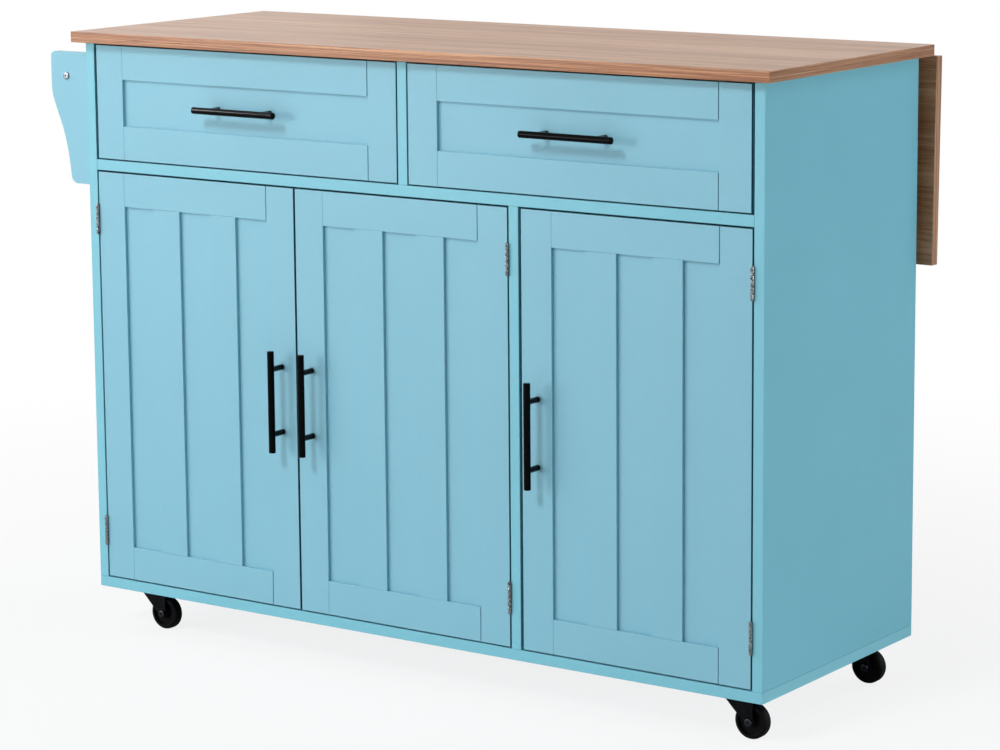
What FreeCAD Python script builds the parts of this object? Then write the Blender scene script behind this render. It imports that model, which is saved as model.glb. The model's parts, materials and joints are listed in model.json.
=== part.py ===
"""Rolling sideboard with two drawers, three doors, a drop leaf and a towel bar.

X runs to the right along the front, Y from the front to the back and Z up.
The origin lies on the floor, in the middle of the whole object's plan.
Lengths are in millimetres, angles in degrees.
"""
import FreeCAD, Part
import Sketcher
import math
import os
import re

# Driving dimensions: name, value, what it measures
SIZES = [
    # Case
    ("carcass_width", 1174, "outer width over the side panels"),
    ("carcass_depth", 420, "front edge of the side panels to their back edge"),
    ("total_height", 914, "floor to the top of the worktop"),
    ("board", 16, "thickness of the case boards"),
    ("back_thickness", 12, "thickness of the back panel"),
    ("worktop_thickness", 16, "thickness of worktop and drop leaf"),
    ("worktop_side_overhang", 15, "worktop beyond each side panel"),
    ("worktop_front_overhang", 16, "worktop beyond the front edges"),
    ("worktop_rear_overhang", 18, "worktop beyond the back"),
    ("edge_round", 0.8, "rounding of the worktop's and leaf's edges"),
    ("drawer_bay_height", 175, "clear height of the drawer bays"),
    ("pair_bay_width", 751, "clear width of the cupboard with two doors"),
    ("shelf_thickness", 16, "thickness of the adjustable shelves"),
    ("shelf_setback", 45, "front edges to the front of the adjustable shelves"),
    ("shelf_side_gap", 1, "play at each end of an adjustable shelf"),
    ("shelf_height", 300, "top of the base board to the underside of the shelves"),
    ("shelf_pin_diameter", 5, "pegs that carry the shelves"),
    ("shelf_pin_reach", 10, "peg beyond the side that holds it"),
    ("shelf_pin_depth", 7, "peg inside the side that holds it"),
    ("shelf_pin_inset", 50, "peg from the shelf's front and back edge"),
    # Fronts
    ("front_panel", 12, "thickness of the backing panel of doors and drawer fronts"),
    ("face_strip", 5, "thickness of the strips on doors and drawer fronts"),
    ("stile_width", 50, "width of the upright edge strips"),
    ("rail_width", 50, "width of the top and bottom strips"),
    ("batten_width", 48, "width of the two upright strips between the stiles"),
    ("joint_gap", 1, "open joint between the rails and the right stile"),
    ("hinge_gap", 2.4, "gap beside a door on its hinge side"),
    ("meeting_gap", 3.2, "gap between the two doors of the pair"),
    ("latch_gap", 4.5, "gap beside the single door on its free side"),
    ("door_top_gap", 2.5, "gap above the doors"),
    ("door_bottom_gap", 2, "gap below the doors"),
    ("drawer_outer_gap", 4.5, "gap beside a drawer front at the side panel"),
    ("drawer_inner_gap", 2.2, "gap beside a drawer front at the divider"),
    ("drawer_top_gap", 3.5, "gap above the drawer fronts"),
    ("drawer_bottom_gap", 2, "gap below the drawer fronts"),
    # Handles
    ("handle_length", 150, "length of a handle's bar"),
    ("handle_centres", 96, "distance between a handle's posts"),
    ("handle_diameter", 10, "thickness of a handle's bar"),
    ("handle_post_diameter", 8.4, "thickness of a handle's posts"),
    ("handle_standoff", 26, "front of the door to the middle of the bar"),
    ("handle_end_round", 1, "rounding of the bar's ends"),
    ("handle_edge_inset", 26, "free edge of a door to the middle of its handle"),
    ("handle_screw_diameter", 4, "screw from the back into a post"),
    ("handle_screw_bite", 8, "length of the screw inside the post"),
    ("handle_screw_head", 8, "diameter of the screw's head"),
    ("handle_screw_head_height", 2.4, "height of the screw's head"),
    # Door hinges
    ("hinge_height", 45, "length of a butt hinge"),
    ("hinge_end_inset", 49, "door's end to the nearer end of its hinge"),
    ("hinge_knuckle_diameter", 5, "outer diameter of the knuckles"),
    ("hinge_pin_diameter", 2.6, "diameter of the hinge pin"),
    ("hinge_pin_play", 0.05, "radial play between pin and knuckle"),
    ("hinge_knuckle_play", 0.3, "play between neighbouring knuckles"),
    ("hinge_front_play", 0.1, "front of the boards to the knuckles"),
    ("hinge_leaf", 1, "thickness of a hinge leaf"),
    ("hinge_leaf_depth", 15, "front of the boards to the back edge of a leaf"),
    ("hinge_leaf_relief", 1, "front of the boards to the full part of a leaf"),
    ("hinge_pin_head", 4.2, "diameter of the pin's heads"),
    ("pin_head_height", 0.8, "height of a hinge pin's heads"),
    ("hinge_screw_diameter", 3, "shank of the countersunk screws"),
    ("hinge_screw_head", 5.4, "head of the countersunk screws"),
    ("hinge_screw_length", 11, "length of the countersunk screws"),
    ("hinge_screw_setback", 9, "front of the boards to the screws"),
    ("hinge_screw_spacing", 27, "distance between the two screws of a leaf"),
    # Catches
    ("catch_width", 46, "width of a magnetic catch"),
    ("catch_depth", 14, "front to back size of a magnetic catch"),
    ("catch_height", 12, "height of a magnetic catch"),
    ("catch_inset", 44, "free edge of a door to the middle of its catch"),
    ("catch_gap", 0.4, "air between a closed strike plate and its catch"),
    ("strike_thickness", 1, "thickness of a strike plate"),
    ("strike_width", 38, "width of a strike plate"),
    ("strike_height", 11, "height of a strike plate"),
    ("strike_drop", 1, "top of the door to the strike plate"),
    # Drawer boxes and slides
    ("drawer_side", 12, "thickness of the drawer box's boards"),
    ("drawer_side_height", 120, "height of the drawer box's sides"),
    ("drawer_side_lift", 14, "drawer shelf to the underside of the box"),
    ("drawer_rear_gap", 16, "end of a drawer box to the back panel"),
    ("drawer_bottom", 5, "thickness of the box's bottom"),
    ("drawer_bottom_lift", 8, "lower edge of the sides to the bottom"),
    ("slide_thickness", 12.7, "drawer side to the wall beside it"),
    ("slide_height", 35, "height of the fixed slide rail"),
    ("slide_sheet", 1.2, "sheet thickness of the slides"),
    ("slide_play", 0.4, "running gap between rail and runner"),
    ("slide_rail_depth", 9.5, "depth of the fixed rail's channel"),
    ("slide_setback", 22, "front edges to the front of the fixed rail"),
    ("slide_rear_gap", 11, "end of the fixed rails to the back panel"),
    ("slide_runner_short", 25, "how much shorter a drawer's runner is than the fixed rail"),
    ("slide_screw_inset", 60, "end of a rail to its screws"),
    # Towel rack
    ("towel_reach", 80, "side panel to the outer edge of the brackets"),
    ("towel_height", 198, "height of the brackets"),
    ("towel_toe", 45, "width of the brackets near their lower end"),
    ("towel_thickness", 15, "thickness of the brackets"),
    ("towel_setback", 10, "front edge of the case to the front bracket, and at the back alike"),
    ("towel_drop", 18, "worktop's underside to the top of the brackets"),
    ("towel_shoulder", 50, "straight part of the outer edge"),
    ("towel_curve_upper", 85, "top of the brackets to where the curve leaves the outer edge"),
    ("towel_curve_lower", 100, "top of the brackets to where the curve bends towards the toe"),
    ("towel_flare", 8, "how far the curve stands off from the toe there"),
    ("towel_corner", 7, "radius of the outer top corner"),
    ("towel_foot_round", 12, "radius of the outer bottom corner"),
    ("towel_bar_reach", 49, "side panel to the middle of the bar"),
    ("towel_bar_drop", 36, "top of the brackets to the middle of the bar"),
    ("towel_bar_diameter", 20, "diameter of the bar"),
    ("towel_screw_diameter", 5, "screw through a bracket into the bar"),
    ("towel_screw_head", 11, "diameter of that screw's head"),
    ("towel_screw_head_height", 2.6, "height of that screw's head"),
    ("towel_screw_length", 35, "length of that screw"),
    ("towel_fixing_drop", 30, "top of the brackets to the upper screw that holds them"),
    ("towel_fixing_spacing", 100, "distance between the screws that hold a bracket"),
    # Wood screws with pan heads
    ("wood_screw_diameter", 4, "shank of the pan head screws"),
    ("wood_screw_head", 8, "head of the pan head screws"),
    ("wood_screw_head_height", 2.2, "height of the pan heads"),
    ("panel_screw_length", 40, "screws from the case into the towel brackets"),
    ("plate_screw_length", 13, "screws of plates and brackets"),
    ("slide_screw_length", 7, "screws of the slide rails"),
    ("slide_screw_head", 6, "head of the slide rail screws"),
    ("slide_screw_head_height", 1.4, "height of the slide rail screws' heads"),
    # Drop leaf and its flap hinges
    ("leaf_length", 296, "depth that the leaf adds to the worktop"),
    ("leaf_lean", 1.34, "angle by which the hanging leaf leans inwards"),
    ("leaf_pivot_setback", 4.2, "back edge of the worktop to the hinge pin"),
    ("leaf_pivot_drop", 3.5, "underside of the worktop to the hinge pin"),
    ("leaf_seam", 1.7, "gap between worktop and raised leaf"),
    ("flap_width", 60, "length of a flap hinge"),
    ("flap_plate", 1.5, "thickness of a flap hinge's plates"),
    ("flap_tab", 1, "thickness of the tabs at the knuckles"),
    ("flap_fixed_depth", 16.5, "back edge of the worktop to the fixed plate's front edge"),
    ("flap_moving_depth", 38, "hinge pin to the far edge of the moving plate"),
    ("flap_relief", 3.4, "hinge pin to the full part of the moving plate"),
    ("flap_knuckle_diameter", 6, "outer diameter of the flap hinge's knuckles"),
    ("flap_pin_diameter", 3, "diameter of the flap hinge's pin"),
    ("flap_side_inset", 150, "end of the worktop to the outer flap hinges"),
    ("flap_screw_spacing", 36, "distance between the two screws of a plate"),
    ("flap_fixed_screw", 9, "back edge of the worktop to the fixed plate's screws"),
    ("flap_moving_screw", 26, "hinge pin to the moving plate's screws"),
    ("flap_pin_head", 5, "diameter of the flap hinge pin's heads"),
    # Folding stays of the leaf
    ("stay_inset", 205, "side panel's outside to the middle of a stay"),
    ("stay_drop", 100, "hinge line of the leaf to the pivot of a stay"),
    ("stay_standoff", 9.5, "back panel to the pivot of a stay"),
    ("stay_length", 188, "pivot to the middle of the strut's tip"),
    ("stay_width", 8, "thickness of the strut"),
    ("stay_depth", 10, "breadth of the strut"),
    ("stay_pin_diameter", 5, "pivot pin of a stay"),
    ("stay_pin_play", 0.05, "radial play of the strut on its pin"),
    ("stay_side_play", 0.5, "play between the strut and the ears"),
    ("stay_ear", 2, "thickness of the bracket's ears and plate"),
    ("stay_plate_height", 64, "height of the bracket's plate"),
    ("stay_plate_width", 30, "width of the bracket's plate"),
    ("stay_screw_spacing", 46, "distance between the bracket's screws"),
    ("stay_pin_head", 8, "diameter of the pivot pin's heads"),
    ("stay_pin_head_height", 1.6, "height of the pivot pin's heads"),
    ("ear_round", 7, "radius of the ears round the pivot"),
    ("channel_width", 22, "outer width of the channel under the leaf"),
    ("channel_sheet", 1.5, "sheet thickness of the channel"),
    ("channel_depth", 7.5, "depth of the channel"),
    ("channel_start", 120, "hinge line to the near end of the channel"),
    ("channel_length", 172, "length of the channel"),
    ("channel_screw_inset", 15, "end of the channel to its screws"),
    # Casters
    ("caster_height", 65, "floor to the underside of the base board"),
    ("caster_side_inset", 66.5, "side panel's outside to the swivel axis"),
    ("caster_end_inset", 47.8, "front or back of the case to the swivel axis"),
    ("caster_trail", 24, "swivel axis to the wheel's axle"),
    ("wheel_diameter", 50, "diameter of a wheel"),
    ("wheel_width", 17, "width of the wheel's tread"),
    ("wheel_hub_width", 19.4, "width of the wheel's hub"),
    ("wheel_hub_diameter", 16, "diameter of the wheel's hub"),
    ("wheel_rim", 6, "depth of the wheel's rim"),
    ("wheel_web", 7, "thickness of the wheel's disc"),
    ("tread_round", 4.5, "rounding of the tread's edges"),
    ("axle_diameter", 6, "diameter of the axle bolt"),
    ("axle_play", 0.05, "radial play of the wheel on its axle"),
    ("axle_head_diameter", 11, "head and nut of the axle bolt"),
    ("axle_head_height", 3, "height of the head and the nut"),
    ("fork_gap", 20, "clear width between the cheeks of a fork"),
    ("fork_cheek", 2, "thickness of a fork's sheet"),
    ("fork_front", 18, "swivel axis to the fork's front edge"),
    ("fork_hub", 6, "radius of the cheek round the axle"),
    ("fork_top_drop", 6.3, "base board to the top of the fork"),
    ("caster_plate", 2.5, "thickness of the mounting plate"),
    ("caster_plate_width", 48, "side of the square mounting plate"),
    ("caster_screw_spacing", 36, "distance between the plate's screws"),
    ("raceway_diameter", 34, "diameter of the swivel's raceway"),
    ("swivel_play", 0.3, "gap between raceway and fork"),
    ("kingpin_diameter", 8, "diameter of the swivel rivet"),
    ("kingpin_play", 0.05, "radial play of the fork on the rivet"),
    ("kingpin_head", 13, "diameter of the rivet's lower head"),
    ("kingpin_head_height", 2, "height of the rivet's lower head"),
    # Cutting
    ("overrun", 2, "how far every cutting shape passes its piece"),
]

# Dimensions that follow from the driving ones: name, formula
WORKED = [
    ("half_width", "carcass_width / 2"),
    ("inner_half", "half_width - board"),
    ("base_top", "caster_height + board"),
    ("worktop_bottom", "total_height - worktop_thickness"),
    ("shelf_board_top", "worktop_bottom - drawer_bay_height"),
    ("shelf_board_bottom", "shelf_board_top - board"),
    ("inner_back", "carcass_depth - back_thickness"),
    ("partition_left", "pair_bay_width - inner_half"),
    ("partition_right", "partition_left + board"),
    ("divider_half", "board / 2"),
    ("worktop_half", "half_width + worktop_side_overhang"),
    ("worktop_back", "carcass_depth + worktop_rear_overhang"),
    ("front_back", "face_strip + front_panel"),
    ("adjustable_bottom", "base_top + shelf_height"),
    ("door_low", "base_top + door_bottom_gap"),
    ("door_high", "shelf_board_bottom - door_top_gap"),
    ("door_middle", "(door_low + door_high) / 2"),
    ("pair_door_width", "(pair_bay_width - 2 * hinge_gap - meeting_gap) / 2"),
    ("left_door_low", "hinge_gap - inner_half"),
    ("left_door_high", "left_door_low + pair_door_width"),
    ("middle_door_low", "left_door_high + meeting_gap"),
    ("middle_door_high", "middle_door_low + pair_door_width"),
    ("right_door_low", "partition_right + latch_gap"),
    ("right_door_high", "inner_half - hinge_gap"),
    ("drawer_low", "shelf_board_top + drawer_bottom_gap"),
    ("drawer_high", "worktop_bottom - drawer_top_gap"),
    ("drawer_middle", "(drawer_low + drawer_high) / 2"),
    ("drawer_near", "divider_half + drawer_inner_gap"),
    ("drawer_far", "inner_half - drawer_outer_gap"),
    ("drawer_centre", "(drawer_near + drawer_far) / 2"),
    ("box_near", "divider_half + slide_thickness"),
    ("box_far", "inner_half - slide_thickness"),
    ("box_low", "shelf_board_top + drawer_side_lift"),
    ("box_high", "box_low + drawer_side_height"),
    ("box_back", "inner_back - drawer_rear_gap"),
    ("box_bottom", "box_low + drawer_bottom_lift"),
    ("slide_middle", "(box_low + box_high) / 2"),
    ("slide_rail_length", "inner_back - slide_setback - slide_rear_gap"),
    ("slide_runner_length", "slide_rail_length - slide_runner_short"),
    ("runner_half", "slide_height / 2 - slide_sheet - slide_play"),
    ("runner_reach", "slide_thickness - slide_sheet - slide_play"),
    ("hinge_axis_front", "hinge_knuckle_diameter / 2 + hinge_front_play"),
    ("hinge_bore", "hinge_pin_diameter / 2 + hinge_pin_play"),
    ("hinge_segment", "hinge_height / 5"),
    ("hinge_leaf_inner", "hinge_gap / 2 - hinge_leaf"),
    ("hinge_low_middle", "door_low + hinge_end_inset + hinge_height / 2"),
    ("hinge_high_middle", "door_high - hinge_end_inset - hinge_height / 2"),
    ("left_hinge_x", "hinge_gap / 2 - inner_half"),
    ("middle_hinge_x", "partition_left - hinge_gap / 2"),
    ("right_hinge_x", "inner_half - hinge_gap / 2"),
    ("pivot_y", "worktop_back + leaf_pivot_setback"),
    ("pivot_z", "worktop_bottom - leaf_pivot_drop"),
    ("leaf_edge_rise", "leaf_pivot_setback - leaf_seam"),
    ("flap_bore", "flap_pin_diameter / 2 + hinge_pin_play"),
    ("flap_segment", "flap_width / 5"),
    ("flap_outer_x", "worktop_half - flap_side_inset"),
    ("stay_x", "half_width - stay_inset"),
    ("stay_y", "carcass_depth + stay_standoff"),
    ("stay_z", "pivot_z - stay_drop"),
    ("ear_inner", "stay_width / 2 + stay_side_play"),
    ("towel_top", "worktop_bottom - towel_drop"),
    ("towel_bar_x", "-half_width - towel_bar_reach"),
    ("towel_bar_z", "towel_top - towel_bar_drop"),
    ("towel_back_front", "carcass_depth - towel_setback - towel_thickness"),
    ("towel_bar_length", "towel_back_front - towel_setback - towel_thickness"),
    ("towel_fixing_y", "towel_setback + towel_thickness / 2"),
    ("caster_x", "half_width - caster_side_inset"),
    ("caster_back_y", "carcass_depth - caster_end_inset"),
    ("wheel_radius", "wheel_diameter / 2"),
    ("fork_top", "caster_height - fork_top_drop"),
    ("fork_back", "caster_trail + fork_hub"),
    ("fork_reach", "caster_trail + fork_front"),
    ("fork_rise", "fork_top - wheel_radius"),
    ("fork_slope", "atan(fork_rise / fork_reach) + asin(fork_hub / sqrt(fork_reach ^ 2 + fork_rise ^ 2))"),
    ("tangent_x", "caster_trail - fork_hub * sin(fork_slope)"),
    ("tangent_z", "wheel_radius - fork_hub * cos(fork_slope)"),
    ("wheel_bore", "axle_diameter / 2 + axle_play"),
    ("hub_radius", "wheel_hub_diameter / 2"),
    ("hub_half", "wheel_hub_width / 2"),
    ("web_half", "wheel_web / 2"),
    ("rim_inner", "wheel_radius - wheel_rim"),
    ("tread_half", "wheel_width / 2"),
    ("handle_radius", "handle_diameter / 2"),
    ("handle_half", "handle_length / 2"),
    ("handle_end_radius", "handle_radius - handle_end_round"),
    ("handle_end_half", "handle_half - handle_end_round"),
    ("leaf_high", "leaf_edge_rise"),
    ("leaf_low", "leaf_edge_rise - leaf_length"),
    ("leaf_outer", "leaf_pivot_drop + worktop_thickness"),
    ("leaf_rear_reach", "leaf_outer * cos(leaf_lean) + leaf_edge_rise * sin(leaf_lean)"),
    ("plan_left", "-half_width - towel_reach"),
    ("plan_front", "-handle_standoff - handle_diameter / 2"),
    ("plan_back", "pivot_y + leaf_rear_reach"),
    ("centre_x", "(plan_left + worktop_half) / 2"),
    ("centre_y", "(plan_front + plan_back) / 2"),
]

SHEET = "Sizes"
ALIASES = {row[0] for row in SIZES} | {row[0] for row in WORKED}
X_AXIS = FreeCAD.Vector(1, 0, 0)
Y_AXIS = FreeCAD.Vector(0, 1, 0)
Z_AXIS = FreeCAD.Vector(0, 0, 1)
UPRIGHT = FreeCAD.Rotation()
# Rods start upright; screws start with the head on top
ALONG_X = FreeCAD.Rotation(Y_AXIS, 90)
ALONG_Y = FreeCAD.Rotation(X_AXIS, -90)
HEAD_RIGHT = FreeCAD.Rotation(Y_AXIS, 90)
HEAD_LEFT = FreeCAD.Rotation(Y_AXIS, -90)
HEAD_FRONT = FreeCAD.Rotation(X_AXIS, 90)
HEAD_BACK = FreeCAD.Rotation(X_AXIS, -90)
TURNED_OVER = FreeCAD.Rotation(Y_AXIS, 180)

doc = FreeCAD.newDocument("Sideboard")
nodes = []


def fill_sheet():
    """Write the driving sizes and the formulas that follow from them."""
    sheet = doc.addObject("Spreadsheet::Sheet", SHEET)
    rows = [(name, str(value), note) for name, value, note in SIZES]
    rows += [(name, "=" + formula, "worked out") for name, formula in WORKED]
    for index, (name, content, note) in enumerate(rows, start=1):
        sheet.set("A%d" % index, name)
        sheet.set("B%d" % index, content)
        sheet.set("C%d" % index, note)
        sheet.setAlias("B%d" % index, name)
    doc.recompute()
    return sheet


sizes = fill_sheet()


def size(name):
    """Value of a named size."""
    return float(sizes.get(name))


def bound(expression):
    """Put the sheet's name before every size named in an expression."""
    def qualify(match):
        word = match.group()
        return SHEET + "." + word if word in ALIASES else word
    return re.sub(r"[a-z][a-z_0-9]*", qualify, expression)


def bind(item, **expressions):
    for name, expression in expressions.items():
        item.setExpression(name, bound(expression))


def place(item, x="0", y="0", z="0", rotation=UPRIGHT):
    """Put an object's own origin at x, y, z, counted from the middle of the case's front."""
    item.Placement = FreeCAD.Placement(FreeCAD.Vector(), rotation)
    item.setExpression("Placement.Base.x", bound("%s - centre_x" % x))
    item.setExpression("Placement.Base.y", bound("%s - centre_y" % y))
    item.setExpression("Placement.Base.z", bound(z))
    return item


def put(item, x="0", y="0", z="0", rotation=UPRIGHT):
    """Put a piece of a form at x, y, z in the form's own frame."""
    item.Placement = FreeCAD.Placement(FreeCAD.Vector(), rotation)
    item.setExpression("Placement.Base.x", bound(x))
    item.setExpression("Placement.Base.y", bound(y))
    item.setExpression("Placement.Base.z", bound(z))
    return item


def raw_box(name, x, y, z):
    """Box between a low and a high value along each axis."""
    box = doc.addObject("Part::Box", name)
    bind(box, Length="(%s) - (%s)" % (x[1], x[0]), Width="(%s) - (%s)" % (y[1], y[0]),
         Height="(%s) - (%s)" % (z[1], z[0]))
    return box


def slab(name, x, y, z):
    """Board of the case between a low and a high value along each axis."""
    return place(raw_box(name, x, y, z), "(%s)" % x[0], "(%s)" % y[0], "(%s)" % z[0])


def form_box(name, x, y, z):
    return put(raw_box(name, x, y, z), x[0], y[0], z[0])


def raw_rod(name, radius, length):
    rod = doc.addObject("Part::Cylinder", name)
    bind(rod, Radius=radius, Height=length)
    return rod


def form_rod(name, radius, length, x="0", y="0", z="0", rotation=UPRIGHT):
    return put(raw_rod(name, radius, length), x, y, z, rotation)


def fused(name, members):
    item = doc.addObject("Part::MultiFuse", name)
    item.Shapes = members
    item.Refine = True
    return item


def cut(name, base, tool):
    item = doc.addObject("Part::Cut", name)
    item.Base = base
    item.Tool = tool
    return item


def gathered(name, members):
    item = doc.addObject("Part::Compound", name)
    item.Links = members
    return item


def copy_of(form, name, x, y, z, rotation=UPRIGHT):
    """Linked copy of a form, placed in the case's frame."""
    link = doc.addObject("App::Link", name)
    link.LinkedObject = form
    return place(link, x, y, z, rotation)


def node(label, members):
    """Declare a sub-part: its solids, gathered under the name of its file."""
    item = gathered(label + "_solids", members)
    item.Label = label
    nodes.append(item)
    return item


def mirrored(span, side):
    """The span itself on the right side of the case, its mirror image on the left."""
    if side > 0:
        return span
    return ("-(%s)" % span[1], "-(%s)" % span[0])


def origin_plane(body, role):
    for feature in body.Origin.OriginFeatures:
        if feature.Role == role:
            return feature
    raise ValueError(role)


def fix_point(sketch, index, point, u, v):
    """Bind a point of a sketch to two named sizes; nought keeps it on the sketch's axis."""
    for kind, term, axis in (("DistanceX", u, -2), ("DistanceY", v, -1)):
        if term == "0":
            sketch.addConstraint(Sketcher.Constraint("PointOnObject", index, point, axis))
        else:
            rule = sketch.addConstraint(Sketcher.Constraint(kind, -1, 1, index, point, signed_size(term)))
            sketch.setExpression("Constraints[%d]" % rule, bound(term))


def signed_size(term):
    """Value of nought, of a named size or of a named size with a minus sign."""
    if term == "0":
        return 0
    return -size(term[1:]) if term.startswith("-") else size(term)


def outline_sketch(body, name, role, corners):
    """Closed outline with straight sides through corners given as named sizes."""
    sketch = body.newObject("Sketcher::SketchObject", name)
    sketch.AttachmentSupport = [(origin_plane(body, role), "")]
    sketch.MapMode = "FlatFace"
    places = [FreeCAD.Vector(signed_size(u), signed_size(v), 0) for u, v in corners]
    count = len(places)
    for index, start in enumerate(places):
        sketch.addGeometry(Part.LineSegment(start, places[(index + 1) % count]))
    for index in range(count):
        sketch.addConstraint(Sketcher.Constraint("Coincident", index, 2, (index + 1) % count, 1))
    for index, (u, v) in enumerate(corners):
        fix_point(sketch, index, 1, u, v)
    return sketch


def pad(body, sketch, name, length, both_ways=False):
    item = body.newObject("PartDesign::Pad", name)
    item.Profile = sketch
    if both_ways:
        item.SideType = "Symmetric"
    bind(item, Length=length)
    return item


def revolve(body, sketch, name):
    """Turn an outline once round the sketch's upright axis."""
    item = body.newObject("PartDesign::Revolution", name)
    item.Profile = sketch
    item.ReferenceAxis = (sketch, ["V_Axis"])
    item.Angle = 360
    return item


def round_edges(body, base, name, radius, edges=None):
    """Round the given edges, or all of them."""
    item = body.newObject("PartDesign::Fillet", name)
    item.Base = (base, edges or [""])
    item.UseAllEdges = edges is None
    bind(item, Radius=radius)
    return item


def pan_screw(name, diameter, length, head, head_height):
    """Screw whose head sits on the form's ground plane, its shank pointing down."""
    shank = form_rod(name + "_shank", diameter + " / 2", length, z="-(%s)" % length)
    top = form_rod(name + "_top", head + " / 2", head_height)
    return fused(name, [shank, top])


def countersunk_screw(name):
    """Screw whose flat head ends on the form's ground plane, its shank pointing down."""
    shank = form_rod(name + "_shank", "hinge_screw_diameter / 2", "hinge_screw_length", z="-hinge_screw_length")
    cone = doc.addObject("Part::Cone", name + "_cone")
    bind(cone, Radius1="hinge_screw_diameter / 2", Radius2="hinge_screw_head / 2", Height="hinge_leaf")
    put(cone, z="-hinge_leaf")
    return fused(name, [shank, cone])


def headed_pin(name, diameter, length, head, head_height):
    """Pin along the form's upright axis, with a head beyond each end of its length."""
    shank = form_rod(name + "_shank", diameter + " / 2", length, z="-(%s) / 2" % length)
    upper = form_rod(name + "_upper", head + " / 2", head_height, z="(%s) / 2" % length)
    lower = form_rod(name + "_lower", head + " / 2", head_height, z="-(%s) / 2 - %s" % (length, head_height))
    return fused(name, [shank, upper, lower])


def form_copy(form, name, x="0", y="0", z="0", rotation=UPRIGHT):
    """Linked copy of a form inside another form's frame."""
    link = doc.addObject("App::Link", name)
    link.LinkedObject = form
    return put(link, x, y, z, rotation)


def screw_pair(name, screw, x, y, spacing, rotation):
    """Two screws, one above and one below the middle of a form."""
    upper = form_copy(screw, name + "_upper", x, y, spacing + " / 2", rotation)
    lower = form_copy(screw, name + "_lower", x, y, "-%s / 2" % spacing, rotation)
    return gathered(name, [upper, lower])


def hinge_leaf(name, fifths, segment, knuckle, bore, plate, tab, screws):
    """Hinge leaf whose pin runs up the form's axis; its knuckles fill some fifths of the length.

    plate and tab hold the spans of the flat plate and of the tabs across the pin.
    """
    pieces = [form_box(name + "_plate", plate[0], plate[1], ("-%s * 5 / 2" % segment, "%s * 5 / 2" % segment))]
    for fifth in fifths:
        low = "%s * %d - %s * 5 / 2 + hinge_knuckle_play / 2" % (segment, fifth, segment)
        length = "%s - hinge_knuckle_play" % segment
        pieces.append(form_rod("%s_knuckle_%d" % (name, fifth), knuckle + " / 2", length, z=low))
        pieces.append(form_box("%s_tab_%d" % (name, fifth), tab[0], tab[1], (low, "%s + %s" % (low, length))))
    hollow = form_rod(name + "_bore", bore, "%s * 5 + 2 * overrun" % segment, z="-%s * 5 / 2 - overrun" % segment)
    return cut(name, fused(name + "_sheet", pieces), gathered(name + "_holes", [hollow, screws]))


def handle_form():
    """Bar handle along the form's upright axis, its posts pointing to the back."""
    body = doc.addObject("PartDesign::Body", "handle_bar")
    corners = [("0", "-handle_half"), ("handle_end_radius", "-handle_half"), ("handle_radius", "-handle_end_half"),
               ("handle_radius", "handle_end_half"), ("handle_end_radius", "handle_half"), ("0", "handle_half")]
    revolve(body, outline_sketch(body, "handle_bar_outline", "XZ_Plane", corners), "handle_bar_turned")
    posts = []
    holes = []
    for word, sign in (("upper", ""), ("lower", "-")):
        z = sign + "handle_centres / 2"
        posts.append(form_rod("handle_post_" + word, "handle_post_diameter / 2", "handle_standoff", z=z,
                              rotation=ALONG_Y))
        holes.append(form_rod("handle_hole_" + word, "handle_screw_diameter / 2", "handle_screw_bite + overrun",
                              y="handle_standoff - handle_screw_bite", z=z, rotation=ALONG_Y))
    return cut("handle", fused("handle_solid", [body] + posts), gathered("handle_holes", holes))


def handle_screws_form(name, grip):
    """Pair of screws through boards of the given total thickness into a handle's posts."""
    screw = pan_screw(name + "_screw", "handle_screw_diameter", "(%s + handle_screw_bite)" % grip,
                      "handle_screw_head", "handle_screw_head_height")
    return screw_pair(name, screw, "0", "handle_standoff + " + grip, "handle_centres", HEAD_BACK)


def door_hinge_forms():
    """Butt hinge whose frame leaf is on the left, its pin along the form's upright axis."""
    screw = countersunk_screw("hinge_screw")
    set_back = "hinge_axis_front + hinge_screw_setback"
    frame_screws = screw_pair("frame_leaf_screws", screw, "-hinge_leaf_inner", set_back, "hinge_screw_spacing",
                              HEAD_RIGHT)
    door_screws = screw_pair("door_leaf_screws", screw, "hinge_leaf_inner", set_back, "hinge_screw_spacing",
                             HEAD_LEFT)
    plate_y = ("hinge_axis_front + hinge_leaf_relief", "hinge_axis_front + hinge_leaf_depth")
    tab_y = ("0", "hinge_axis_front + hinge_leaf_relief")
    frame_x = ("-hinge_gap / 2", "-hinge_leaf_inner")
    door_x = ("hinge_leaf_inner", "hinge_gap / 2")
    frame = hinge_leaf("frame_leaf", (0, 2, 4), "hinge_segment", "hinge_knuckle_diameter", "hinge_bore",
                       (frame_x, plate_y), (frame_x, tab_y), frame_screws)
    door = hinge_leaf("door_leaf", (1, 3), "hinge_segment", "hinge_knuckle_diameter", "hinge_bore",
                      (door_x, plate_y), (door_x, tab_y), door_screws)
    pin = headed_pin("door_hinge_pin", "hinge_pin_diameter", "(hinge_height - hinge_knuckle_play)",
                     "hinge_pin_head", "pin_head_height")
    return {"frame": frame, "door": door, "pin": pin, "frame_screws": frame_screws, "door_screws": door_screws}


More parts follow.
